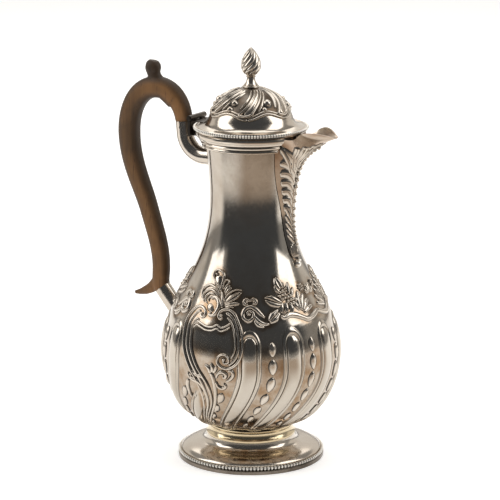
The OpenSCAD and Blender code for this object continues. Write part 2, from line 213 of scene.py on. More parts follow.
softbox("softbox_left", front - 84, 34, 1.9, (1.15, 1.65), 14)
softbox("softbox_right", front + 80, 37, 1.9, (1.15, 1.6), 14)
softbox("softbox_top", front + 180, 78, 2.0, (1.5, 1.5), 12)
softbox("softbox_back", front + 180, 35, 2.6, (2.2, 1.0), 10, (1, 0.97, 0.93))
card("dark_front", (0.86, 0.92, 1.0), 0.085, (front - 62, front + 62), 4, 68, 1.35)
card_r, card_foot, card_height = 0.36, 0.094, 0.146
u, v = np.meshgrid(np.linspace(0, 1, 61), np.linspace(0, 1, 31))
a = np.radians(front - 88 + 170 * u)
low_card = np.stack([np.cos(a) * card_r, np.sin(a) * card_r, card_foot + card_height * v], 2)
screen("dark_low", (0.86, 0.92, 1.0), 0.085, low_card, soft(u, 0.09) * soft(v, 0.1))
card("pale_backdrop", (1.0, 0.96, 0.90), 0.85, (front + 108, front + 252), 0, 30, 2.5, 0.08, 0.2)
# painted reflection: a glowing tan sheet on the floor, seen only in the silver, warms and darkens the
# floor's reflection in the lower belly
reflection_sheet("tan_reflection_sheet", (0.80, 0.67, 0.555), 0.80, (front - 56, front + 96), 0.10, 1.5, 0.3, 0.2)

world = bpy.data.worlds.new("room")
world.use_nodes = True
air = world.node_tree.nodes["Background"].inputs
air["Color"].default_value = (0.93, 0.91, 0.88, 1)
air["Strength"].default_value = 0.38
bpy.context.scene.world = world

# ---- Foot. Sheet silver spun to a stepped ogee, soldered under the collar.
# A step rises from its skirt to the collar.
mm = 0.001


def bezier(p, t):
    """Point at share t of a curve with two end points and two handles."""
    p, t = np.array(p, float), np.asarray(t)[..., None]
    return (1 - t) ** 3 * p[0] + 3 * t * (1 - t) ** 2 * p[1] + 3 * t * t * (1 - t) * p[2] + t ** 3 * p[3]


def curve_points(p, n, skip=0):
    """Evenly stepped points of such a curve, without the first few where skip says so."""
    return bezier(p, np.linspace(0, 1, n + 1)[skip:])


def silver(
    name, colour=(0.60, 0.54, 0.465), rough=0.13, tarnish_and_shade=0.5, tone=(0.40, 0.315, 0.235), scratch=0.12,
):
    """Silver with worn bright patches, brown tarnish, fine scratches, dark in its hollows. A dark colour
    and tone with a high tarnish share paint shade instead, as on the base wire.
    """
    net = Net(name)
    place = net.add("TexCoord", out=3)
    cloud = net.add("TexNoise", Vector=place, Scale=26.0, Detail=5.0, Roughness=0.62)
    fleck = net.add("TexNoise", Vector=place, Scale=310.0, Detail=4.0, Roughness=0.7)
    turned = net.add("Mapping", {}, Vector=place, Rotation=(0.5, 0.9, 0.3), Scale=(900.0, 60.0, 420.0))
    rubbed = net.add("TexNoise", Vector=turned, Scale=1.0, Detail=3.0)
    hollow = net.add("Attribute", {"attribute_name": "hollow"}, 2)
    stain = net.add("Attribute", {"attribute_name": "stain"}, 2)
    dull = cloud.span(0.42, 0.72) * tarnish_and_shade + fleck.span(0.55, 0.8) * (0.25 * tarnish_and_shade)
    body = net.blend(dull, colour, tone)
    patch = net.add("TexNoise", Vector=place, Scale=75.0, Detail=5.0, Roughness=0.7)
    body = net.blend(stain * (0.25 + 0.75 * patch.span(0.38, 0.62)), body, (0.30, 0.20, 0.12))
    body = net.blend(hollow * 0.93, body, (0.035, 0.03, 0.026))
    bump = net.add("Bump", Strength=scratch, Distance=0.00004, Height=rubbed * 0.7 + fleck * 0.5)
    return net.finish(
        Base_Color=body, Metallic=1.0, Normal=bump,
        Roughness=rough + 0.09 * dull + 0.07 * rubbed.span(0.5, 0.8) + 0.25 * hollow,
    )


def closed(made, material, crease):
    """Merges the seams of a piece in edit mode, points its faces out and gives it its finish."""
    bpy.ops.mesh.select_all(action="SELECT")
    bpy.ops.mesh.remove_doubles(threshold=0.002 * mm)
    bpy.ops.mesh.normals_make_consistent(inside=False)
    bpy.ops.object.mode_set(mode="OBJECT")
    made.data.materials.append(material)
    bpy.ops.object.shade_smooth_by_angle(angle=math.radians(crease))
    return made


def turn(name, outline, material, steps=160, crease=32):
    """Turns an outline of (radius, height) in mm on the pot's axis, as on a lathe."""
    bpy.ops.object.select_all(action="DESELECT")
    r, z = outline[0]
    bpy.ops.mesh.primitive_plane_add(size=0.01)
    made = bpy.context.object
    made.name = name
    bpy.ops.object.mode_set(mode="EDIT")
    bpy.ops.mesh.merge(type="CENTER")
    bpy.ops.transform.translate(value=(r * mm, 0, z * mm))
    for (r0, z0), (r1, z1) in zip(outline[:-1], outline[1:]):
        along = ((r1 - r0) * mm, 0, (z1 - z0) * mm)
        bpy.ops.mesh.extrude_region_move(TRANSFORM_OT_translate={"value": along})
    bpy.ops.mesh.select_all(action="SELECT")
    bpy.ops.mesh.spin(steps=steps, angle=2 * math.pi, center=(0, 0, 0), axis=(0, 0, 1))
    return closed(made, material, crease)


plain_silver = silver("spun_silver")
foot_top = [
    (30.5, 16.0), (30.9, 13.9), (31.9, 12.1), (33.6, 10.9), (36.2, 10.3), (39.0, 9.9), (42.0, 9.3),
    (44.6, 8.4), (46.6, 7.4), (47.9, 6.6), (48.3, 6.0),
]
foot_outline = [
    (21.8, 16.0), (29.4, 16.1), *foot_top, (48.3, 3.0), (47.5, 3.0), (47.4, 6.0), (44.2, 7.6),
    (41.8, 8.5), (36.0, 9.5), (33.0, 10.1), (31.0, 11.8), (30.1, 13.8), (29.7, 15.2), (21.8, 15.2),
    (21.8, 16.0),
]
foot = turn("spun_foot", foot_outline, plain_silver, 192)
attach(foot, "pot")
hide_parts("foot")

# ---- Base wire. A flat wire soldered under the foot's skirt, which the pot stands on.
# Its outer edge is rounded by wear.
# painted shade: the base wire's silver is made near-black, for the shade and dark reflection of the
# ground under the foot's beads
shaded_base_silver = silver("shaded_base_silver", (0.24, 0.205, 0.17), 0.22, 0.9, (0.07, 0.055, 0.04))
wire_outline = [
    (46.7, 0.0), (50.2, 0.0), (50.5, 0.15), (50.6, 0.5), (50.6, 2.3), (50.45, 2.75), (50.1, 3.0),
    (46.7, 3.0), (46.7, 0.0),
]
base_wire = turn("base_wire", wire_outline, shaded_base_silver, 192)
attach(base_wire, "pot")
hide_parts("foot_base_wire")

# ---- Beaded wire round the foot. Half-round beads rolled in one strip, soldered on the base wire.
# The gaps between the beads hold black tarnish.
relief_silver = silver("chased_silver", (0.64, 0.575, 0.495), 0.17, 0.5, (0.38, 0.295, 0.21), 0.1)
bead_silver = silver("bead_silver", (0.86, 0.82, 0.75), 0.30, 0.2, (0.6, 0.52, 0.42), 0.1)


def bead_row(name, count, ring_r, ring_z, bead_r, long):
    """A row of small beads on a thin core, all one wire."""
    bpy.ops.object.select_all(action="DESELECT")
    bpy.ops.mesh.primitive_uv_sphere_add(segments=10, ring_count=7, radius=bead_r * mm)
    bead = bpy.context.object
    bpy.ops.transform.resize(value=(1, long, 1))
    bpy.ops.object.transform_apply(location=False, rotation=False, scale=True)
    bpy.ops.object.shade_smooth()
    bpy.ops.transform.translate(value=(ring_r * mm, 0, ring_z * mm))
    bpy.ops.object.transform_apply()
    co = np.array([v.co for v in bead.data.vertices])
    side = np.abs(co[:, 1]) / (bead_r * long * mm)
    paint(bead, "hollow", np.clip((side - 0.62) * 3, 0, 1))
    beads = [bead]
    for k in range(1, count):
        copy = bead.copy()
        copy.data = bead.data.copy()
        turn_by = 2 * math.pi * k / count
        c, s = math.cos(turn_by), math.sin(turn_by)
        spun = co @ np.array([[c, s, 0], [-s, c, 0], [0, 0, 1]])
        copy.data.vertices.foreach_set("co", spun.reshape(-1))
        bpy.context.scene.collection.objects.link(copy)
        beads.append(copy)
    bpy.ops.mesh.primitive_torus_add(
        major_segments=160, minor_segments=8, major_radius=ring_r * mm, minor_radius=bead_r * 0.62 * mm,
        location=(0, 0, ring_z * mm),
    )
    core = bpy.context.object
    bpy.ops.object.transform_apply()
    paint(core, "hollow", 1)
    for piece in beads:
        piece.select_set(True)
    bpy.context.view_layer.objects.active = core
    bpy.ops.object.join()
    core.name = name
    core.data.materials.append(bead_silver)
    bpy.ops.object.shade_smooth()
    return core


foot_beads = bead_row("foot_beads", 128, 49.4, 4.25, 1.22, 0.93)
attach(foot_beads, "pot")
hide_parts("foot_bead_wire")

# ---- Collar. A short moulded ring between foot and body, its silver made warmer and more golden than the rest.
warm_silver = silver("warm_silver", (0.66, 0.55, 0.37), 0.15, 0.6, (0.40, 0.29, 0.16), 0.1)
collar_outline = [
    (25.3, 16.0), (30.4, 16.0), (30.9, 16.4), (30.9, 17.5), (30.4, 18.1), (29.8, 18.9), (29.3, 20.1),
    (29.0, 21.4), (29.2, 22.6), (29.7, 23.3), (29.6, 24.0), (25.3, 24.0), (25.3, 16.0),
]
collar = turn("collar", collar_outline, warm_silver, 192)
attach(collar, "pot")
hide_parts("foot_collar")

# ---- Belly. Raised sheet silver, chased from both sides with twelve swirling lobes, each inside a
# raised border. Two lobes stop low, to leave room for the cartouches.
body_curves = [
    [(28, 24), (46, 27), (62, 48), (62, 76)],
    [(62, 76), (62, 114), (28.5, 128), (28.5, 184)],
    [(28.5, 184), (28.5, 199), (30.7, 217), (31.5, 229)],
]
body_line = np.concatenate([
    curve_points(body_curves[0], 60),
    curve_points(body_curves[1], 90, 1),
    curve_points(body_curves[2], 40, 1),
])
sheet = 0.8
trim = 0.35                              # the planished skin lies this far under the outline


def body_r(z):
    """Radius of the body's skin at a height."""
    return np.interp(z, body_line[:, 1], body_line[:, 0]) - trim


def swirl(z):
    """How far the lobes have turned at a height, in degrees."""
    return -27 * (np.clip(75 - z, 0, 60) / 51) ** 1.75


def step(x, low, high):
    """0 below low, 1 above high, with a smooth rise between."""
    t = np.clip((x - low) / (high - low), 0, 1)
    return t * t * (3 - 2 * t)


lobe_gap = 30                            # degrees from lobe to lobe
cartouche_at = (-90, 90)


def lobes(turned, z):
    """Height, hollow and stain of the chased lobes. turned is the angle with the swirl taken off."""
    inner_half, outer_half, inner_tip, outer_tip = 5.1, 7.9, 6.0, 10.6
    d = (turned + lobe_gap / 2) % lobe_gap - lobe_gap / 2
    centre = np.round((turned - d) / lobe_gap) * lobe_gap
    low = np.abs(np.abs((centre + 180) % 360 - 180) - 90) < 1
    top = np.where(low, 50.0, 93.0)
    x = d * 1.07                         # mm round the belly from degrees
    above = np.clip(z - top, 0, None)
    inner = np.sqrt((x / inner_half) ** 2 + (above / inner_tip) ** 2)
    outer = np.sqrt((x / outer_half) ** 2 + (above / np.where(low, 8.5, outer_tip)) ** 2)
    fade = step(z, 24.5, 33)             # the lobes flatten towards the collar
    lobe = np.sqrt(np.clip(1 - inner ** 2, 0, 1)) * 1.55
    share = np.clip((inner - 1.04) / np.clip((inner - 1.04) + (1 - outer) * 1.6, 1e-6, None), 0, 1)
    border = np.where((inner > 1.04) & (outer < 1), np.sin(np.pi * share) ** 0.75 * 0.85, 0)
    sunk = -0.28 * step(outer, 1.0, 1.12) * (1 - step(z, 92, 103))
    rest = -0.75 + 0.75 * step(z, 96, 106)
    height = rest + (lobe + border + sunk) * (0.35 + 0.65 * fade)
    edge = np.exp(-((inner - 1.03) / 0.045) ** 2) + 0.9 * np.exp(-((outer - 1.035) / 0.035) ** 2)
    edge = edge * (1 - 0.5 * step(z, 98, 105))
    stain = step(outer, 1.02, 1.12) * (1 - step(z, 86, 97)) + 0.35 * (1 - step(z, 26, 40))
    return height, np.clip(edge, 0, 1), np.clip(stain, 0, 1)


def wrap(name, net, material, crease=40, **values):
    """A grid whose vertices are moved to a net of points in mm, with its seams merged."""
    rows, columns = net.shape[:2]
    bpy.ops.object.select_all(action="DESELECT")
    bpy.ops.mesh.primitive_grid_add(x_subdivisions=columns - 1, y_subdivisions=rows - 1, size=1)
    made = bpy.context.object
    made.name = name
    co = np.zeros(rows * columns * 3)
    made.data.vertices.foreach_get("co", co)
    co = co.reshape(-1, 3) + 0.5
    i = np.round(co[:, 1] * (rows - 1)).astype(int)
    j = np.round(co[:, 0] * (columns - 1)).astype(int)
    made.data.vertices.foreach_set("co", (net[i, j] * mm).reshape(-1))
    for key, value in values.items():
        paint(made, key, value[i, j])
    bpy.ops.object.mode_set(mode="EDIT")
    return closed(made, material, crease)


chased = silver("chased_body", (0.53, 0.478, 0.41), 0.12, 0.55, (0.35, 0.28, 0.205), 0.1)
seam_z = 107.0
z_out = np.concatenate([
    np.linspace(24, 31, 8)[:-1], np.linspace(31, 88, 25)[:-1], np.linspace(88, 104.5, 31)[:-1],
    np.linspace(104.5, seam_z, 4),
])
turned_at = np.linspace(0, 360, 1201)
deg, z = np.meshgrid(turned_at, z_out)
height, hollow, stain = lobes(deg, z)
slope = np.gradient(body_r(z_out), z_out)[:, None]
lean = 1 / np.sqrt(1 + slope ** 2)
r = body_r(z) + height * lean
zz = z - height * slope * lean
zz[0] = 24.0
theta = np.radians(deg + swirl(z))
skin = np.stack([r * np.cos(theta), r * np.sin(theta), zz], 2)
z_in = np.linspace(seam_z, 25.2, 12)
deg_in, z_in = np.meshgrid(turned_at, z_in)
theta_in = np.radians(deg_in + swirl(z_in))
r_in = body_r(z_in) - 1.9 * (1 - step(z_in, 98, 106)) - sheet
lining = np.stack([r_in * np.cos(theta_in), r_in * np.sin(theta_in), z_in], 2)
floor_row = lining[-1:] * [0.5, 0.5, 0] + [0, 0, 24.9]
middle = np.zeros((1, 1201, 3))
net = np.concatenate([middle + [0, 0, 24.0], skin, lining, floor_row, middle + [0, 0, 24.8]])


def pad(value):
    """Adds the rows of the closing caps and the lining, which carry no chasing."""
    return np.concatenate([np.zeros((1, 1201)), value, np.zeros((14, 1201))])


belly = wrap("belly", net, chased, hollow=pad(hollow), stain=pad(stain))
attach(belly, "pot")
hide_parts("body")

# ---- Neck. The upper half of the same raised sheet, left plain, with strainer holes drilled
# behind the spout. Rubbed by cloths for a century.


def only(piece):
    """Selects one piece alone and makes it the active one."""
    bpy.ops.object.select_all(action="DESELECT")
    bpy.context.view_layer.objects.active = piece
    piece.select_set(True)
    return piece


def cut_away(piece, tool, crease):
    """Takes the tool's shape out of a piece, and then removes the tool."""
    cut = only(piece).modifiers.new("cut", "BOOLEAN")
    cut.operation, cut.object = "DIFFERENCE", tool
    bpy.ops.object.modifier_apply(modifier=cut.name)
    bpy.data.objects.remove(tool)
    bpy.ops.object.shade_smooth_by_angle(angle=math.radians(crease))


neck_z = np.concatenate([np.linspace(seam_z, 184, 52), np.linspace(184, 229, 26)[1:]])
neck_line = [(float(body_r(z)), float(z)) for z in neck_z]
inside = [(r - sheet, z) for r, z in neck_line[::-1]]
worn_silver = silver("worn_silver", (0.51, 0.465, 0.405), 0.10, 0.7, (0.35, 0.28, 0.215), 0.14)
neck = turn("neck", neck_line + inside + neck_line[:1], worn_silver, 240)
hole_r, hole_gap, wall_x = 1.6, 3.9, 28.5
for z, holes in ((169, 1), (176, 2), (183, 3), (190, 4), (197, 5)):
    for k in range(holes):
        y = (k - (holes - 1) / 2) * hole_gap
        bpy.ops.object.select_all(action="DESELECT")
        bpy.ops.mesh.primitive_cylinder_add(
            vertices=20, radius=hole_r * mm, depth=12 * mm, location=(wall_x * mm, y * mm, z * mm),
            rotation=(0, math.pi / 2, 0),
        )
        cut_away(neck, bpy.context.object, 40)
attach(neck, "pot")

# ---- Bead chains. Between the lobes runs a chain of pointed beads, chased up from behind.
# They shrink as they follow the swirl down, and stop under the cartouches.


def through(points, n):
    """n points along a smooth line through some points."""
    p = np.array(points, float)
    if len(p) == 2:
        p = np.array([p[0], (p[0] + p[1]) / 2, p[1]])
    p = np.concatenate([2 * p[:1] - p[1:2], p, 2 * p[-1:] - p[-2:-1]])
    t = np.linspace(0, len(p) - 3 - 1e-9, n)
    k = t.astype(int)
    t = (t - k)[:, None]
    a, b, c, d = p[k], p[k + 1], p[k + 2], p[k + 3]
    bend, twist = 2 * a - 5 * b + 4 * c - d, 3 * b - a - 3 * c + d
    return 0.5 * (2 * b + (c - a) * t + bend * t ** 2 + twist * t ** 3)


def on_body(a, z):
    """Point of the belly's skin, or of the neck's above it, from an angle and a height."""
    r = body_r(z) - 0.75 * (1 - step(z, 96, 106))
    return np.stack([r * np.cos(np.radians(a)), r * np.sin(np.radians(a)), z + 0 * a], -1)


def unit(v):
    """The same directions, each one long."""
    return v / np.maximum(np.linalg.norm(v, axis=-1, keepdims=True), 1e-9)


# one chased rib across: place from edge to edge, height as a share, and how hollow it is
rib = np.array([
    (-1.3, -0.3, 1), (-1.12, 0, 1), (-1, 0.05, 0.75), (-0.8, 0.62, 0.2), (-0.45, 0.93, 0), (0, 1, 0),
])
rib = np.concatenate([rib, rib[:-1][::-1] * [-1, 1, 1]])
# a keel has straight flanks, and a vein is a dark line
keel = rib.copy()
keel[:, 1] = [-0.3, 0, 0.05, 0.30, 0.62, 1, 0.62, 0.30, 0.05, 0, -0.3]
vein = rib * [1, 1, 0] + [0, 0, 1]


class Chasing:
    """Collects raised ribs and bosses on a surface, then makes one mesh of them."""

    proud = 0.03                         # mm that all of it stands over the surface
    # rings of a boss from rim to top: share of its radius, share of its height, and how hollow
    dome = [
        (1.3, -0.3, 1), (1.14, 0, 1), (1, 0.06, 0.8), (0.88, 0.5, 0.2), (0.62, 0.82, 0), (0.3, 0.97, 0),
        (0.02, 1, 0),
    ]

    def __init__(self, surface, facing=1):
        self.surface, self.facing = surface, facing
        self.points, self.faces, self.hollow = [], [], []

    def frame(self, a, b):
        """How the surface runs along both of its measures there, and which way is out of it."""
        e = 0.01
        da = (self.surface(a + e, b) - self.surface(a - e, b)) / (2 * e)
        db = (self.surface(a, b + e) - self.surface(a, b - e)) / (2 * e)
        return da, db, unit(np.cross(da, db)) * self.facing

    def ring_mesh(self, rows, hollow):
        """Joins rings of points with faces, and closes both ends."""
        n, m = rows.shape[:2]
        base = sum(len(p) for p in self.points)
        self.points.append(rows.reshape(-1, 3))
        self.hollow.append(hollow.reshape(-1))
        j = np.arange(m)
        k = (j + 1) % m
        for i in range(n - 1):
            lo, hi = base + i * m, base + (i + 1) * m
            self.faces += np.stack([lo + j, lo + k, hi + k, hi + j], 1).tolist()
        self.faces += [[base + i for i in range(m)][::-1], [base + (n - 1) * m + i for i in range(m)]]

    def rib(self, path, width, height, n=0, profile=rib):
        """A raised rib along a path of (angle, height) pairs. width and height are in mm, one
        value or several that change along it."""
        n = n or max(8, 5 * len(path))
        line = through(path, n)
        t = np.linspace(0, 1, n)
        w, h = (np.interp(t, np.linspace(0, 1, np.size(v)), np.atleast_1d(v)) for v in (width, height))
        ends = np.clip(np.minimum(t, 1 - t) * n / 1.6, 0, 1)
        ends = np.sqrt(1 - (1 - ends) ** 2)
        w, h = w * (0.12 + 0.88 * ends), h * (ends * 1.15 - 0.15)
        a, b = line[:, 0], line[:, 1]
        da, db, up = self.frame(a, b)
        run = np.gradient(self.surface(a, b), axis=0)
        side = unit(np.cross(up, run))
        g11, g12, g22 = (da * da).sum(-1), (da * db).sum(-1), (db * db).sum(-1)
        s1, s2 = (side * da).sum(-1), (side * db).sum(-1)
        det = g11 * g22 - g12 ** 2
        ua, ub = (s1 * g22 - s2 * g12) / det, (s2 * g11 - s1 * g12) / det
        across = w[:, None] * profile[None, :, 0]
        aa, bb = a[:, None] + ua[:, None] * across, b[:, None] + ub[:, None] * across
        raised, buried = np.maximum(profile[:, 1], 0), np.where(profile[:, 1] < 0, -0.4, 0)
        over = h[:, None] * raised + self.proud + buried
        rows = self.surface(aa, bb) + up[:, None] * over[..., None]
        self.ring_mesh(rows, np.broadcast_to(profile[:, 2], over.shape))

    def boss(self, a, b, radius, height, sides=14):
        """A round raised bead with a chased line round it."""
        da, db, up = self.frame(np.array([a]), np.array([b]))
        e1 = unit(da)[0]
        e2 = np.cross(up[0], e1)
        centre = self.surface(np.array([a]), np.array([b]))[0]
        ring = np.radians(np.arange(sides) * 360 / sides)
        around = np.cos(ring)[:, None] * e1 + np.sin(ring)[:, None] * e2
        rows, dull = [], []
        for share, over, gloom in self.dome:
            off = over * height if over > 0 else over
            rows.append(centre + around * radius * share + up[0] * (off + self.proud))
            dull.append(np.full(sides, gloom))
        self.ring_mesh(np.array(rows), np.array(dull))

    def made(self, name, material):
        """Makes one piece of all that was collected."""
        mesh = bpy.data.meshes.new(name)
        mesh.from_pydata((np.concatenate(self.points) * mm).tolist(), [], self.faces)
        piece = bpy.data.objects.new(name, mesh)
        bpy.context.scene.collection.objects.link(piece)
        paint(only(piece), "hollow", np.concatenate(self.hollow))
        bpy.ops.object.mode_set(mode="EDIT")
        bpy.ops.mesh.select_all(action="SELECT")
        bpy.ops.mesh.normals_make_consistent(inside=False)
        bpy.ops.object.mode_set(mode="OBJECT")
        mesh.materials.append(material)
        bpy.ops.object.shade_smooth_by_angle(angle=math.radians(75))
        return piece


chain_ends = [96.0, 85.0, 72.5, 60.5, 50.8, 42.8, 36.2, 31.0]
chain_half = [2.5, 2.65, 2.6, 2.4, 2.1, 1.75, 1.4]
chains = Chasing(on_body)
for k in range(360 // lobe_gap):
    at = lobe_gap * (k + 0.5)
    by_cartouche = abs((at + 180) % 180 - 90) < 20
    for half, top, bottom in zip(chain_half, chain_ends[:-1], chain_ends[1:]):
        if by_cartouche and top > 61:    # these start under the cartouche
            continue
        z = np.linspace(top - 0.5, bottom + 0.5, 9)
        path = np.stack([at + swirl(z), z], 1)
        shape = np.sin(np.pi * np.linspace(0.03, 0.97, 9) ** 0.92) ** 0.8
        chains.rib(path, half * shape, 1.35 * half / 2.6 * shape ** 0.6, 13, keel)
bead_chains = chains.made("bead_chains", relief_silver)
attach(bead_chains, "pot")

# ---- Cartouches. On each side a scrolled frame of three ridges round a plain polished shield, with
# stems and leaves below it that turn into the swirl. Chased in the body's own sheet.
left_outer = [
    (-7.4, 111.9), (-8.9, 110.4), (-7.2, 108.9), (-5.2, 110.4), (-6.2, 113.2), (-10.0, 115.0),
    (-14.5, 114.6), (-17.9, 111.8), (-20.2, 107.6), (-20.9, 103.0), (-20.5, 97.8), (-19.3, 92.1),
    (-17.1, 85.8), (-14.1, 79.6), (-10.6, 73.4), (-7.2, 68.2), (-4.4, 62.5), (-3.0, 55.0), (-4.0, 47.5),
    (-7.4, 40.0), (-12.0, 33.0),
]
left_inner = [
    (-9.2, 107.2), (-11.3, 107.4), (-12.9, 104.8), (-13.6, 101.1), (-12.9, 94.7), (-11.4, 88.3),
    (-8.6, 82.1), (-5.2, 75.8), (-1.4, 70.6), (1.3, 66.1), (3.2, 60.5), (3.6, 54.0), (1.8, 48.1),
    (-2.4, 41.6), (-6.6, 35.5), (-11.1, 30.4),
]
left_middle = [
    (-9.8, 112.6), (-12.4, 112.0), (-15.0, 109.0), (-16.8, 105.2), (-17.3, 101.0), (-16.8, 96.0),
    (-15.5, 90.2), (-13.0, 84.0), (-9.8, 77.8), (-6.2, 72.0), (-3.0, 66.6), (-0.8, 60.5), (0.2, 54.0),
    (-1.2, 47.6), (-5.0, 40.6), (-9.4, 33.5),
]
right_outer = [
    (9.8, 110.4), (8.2, 109.2), (6.3, 110.9), (7.2, 113.8), (10.0, 115.2), (14.6, 115.2), (19.0, 112.6),
    (22.2, 107.9), (24.4, 102.5), (25.3, 96.3), (25.2, 89.9), (23.7, 84.5), (20.6, 80.2), (16.4, 77.9),
    (11.9, 78.6), (9.2, 81.8), (9.9, 85.6), (13.4, 87.2), (16.4, 85.2), (16.6, 82.2), (14.2, 81.2),
    (12.9, 82.9),
]
right_inner = [
    (13.2, 110.6), (15.4, 109.3), (18.3, 105.3), (20.0, 99.8), (20.7, 93.6), (20.0, 88.4), (18.0, 84.5),
]
right_middle = [
    (11.4, 113.2), (15.2, 112.3), (18.9, 108.8), (21.2, 103.8), (22.6, 98.0), (22.9, 92.0),
    (22.0, 86.8), (19.6, 82.6), (16.6, 80.0),
]
shield_top = [
    (-13.0, 103.6), (-10.6, 106.0), (-7.0, 105.2), (-2.4, 103.9), (2.6, 104.0), (6.3, 105.6),
    (9.6, 104.2), (13.7, 105.6), (16.4, 107.6),
]
stems = [
    ([(4.4, 74.8), (6.2, 70.0), (7.0, 64.0), (6.8, 57.0), (5.0, 50.0), (1.2, 43.0), (-3.6, 36.6),
      (-8.6, 31.5)], [1.5, 1.3, 1.1, 1.0], [1.3, 1.0]),
    ([(-13.6, 71.4), (-11.8, 68.0), (-8.4, 66.6), (-4.6, 65.4), (-1.4, 61.5), (0.0, 56.5)],
      [0.6, 1.4, 1.6, 1.3, 0.7], [0.7, 1.4, 1.1, 0.6]),
    ([(-9.6, 73.6), (-8.2, 71.4), (-5.4, 70.4), (-1.6, 69.6), (1.9, 64.4)], [0.5, 1.1, 1.2, 0.6],
      [0.6, 1.2, 0.6]),
    ([(-13.4, 66.4), (-15.2, 62.0), (-14.4, 56.5), (-12.6, 53.0)], [1.2, 1.5, 0.9, 0.4], 1.0),
    ([(8.4, 70.2), (9.6, 73.6), (12.2, 75.2), (14.8, 74.0), (14.6, 71.6), (12.6, 71.4)],
      [0.6, 1.2, 1.2, 0.8], 1.2),
    ([(14.8, 68.6), (17.6, 70.4), (19.6, 73.6), (18.6, 76.4), (16.4, 76.0)], [0.6, 1.2, 1.1, 0.7], 1.2),
    ([(8.0, 68.2), (9.4, 64.6), (12.4, 63.4), (14.6, 65.2), (13.2, 67.4)], [0.7, 1.3, 1.1, 0.7], 1.1),
    ([(4.6, 73.6), (3.4, 76.8), (0.4, 79.4)], [1.5, 1.6, 0.5], 1.4),
    ([(5.6, 74.4), (6.0, 77.6), (4.6, 80.8)], [1.2, 1.4, 0.5], 1.5),
    ([(6.4, 74.0), (8.2, 77.0), (8.6, 79.8)], [1.1, 1.2, 0.5], 1.3),
]
ridges = [
    (left_outer, 1.0, 1.35), (left_inner, 0.85, 1.2), (left_middle, 1.25, 0.95),
    (right_outer, 1.05, 1.4), (right_inner, 0.85, 1.2), (right_middle, 1.2, 0.95),
]
scroll_eyes = [
    (-8.1, 110.2, 1.0, 1.5), (8.2, 111.4, 1.25, 1.6), (13.4, 83.6, 1.3, 1.6), (-10.6, 70.4, 1.2, 1.6),
    (13.0, 73.2, 0.9, 1.3),
]


def moved(path, base, hand=1):
    """A path of (angle, height) pairs carried round the belly, mirrored where hand is -1."""
    return [(base + hand * a, z) for a, z in path]


frames = Chasing(on_body)
for base in cartouche_at:
    for path, w, h in ridges:
        frames.rib(moved(path, base), [w * 0.7, w, w, w, w * 0.8, w * 0.6], [h, h, h, h * 0.8])
    for down, w in ((0, 0.62), (2.3, 0.5)):
        frames.rib([(base + a, z - down) for a, z in shield_top], w, 0.55, 60)
    for path, w, h in stems:
        frames.rib(moved(path, base), w, h)
    for a, z, r, h in scroll_eyes:
        frames.boss(base + a, z, r, h)
cartouches = frames.made("cartouches", relief_silver)
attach(cartouches, "pot")

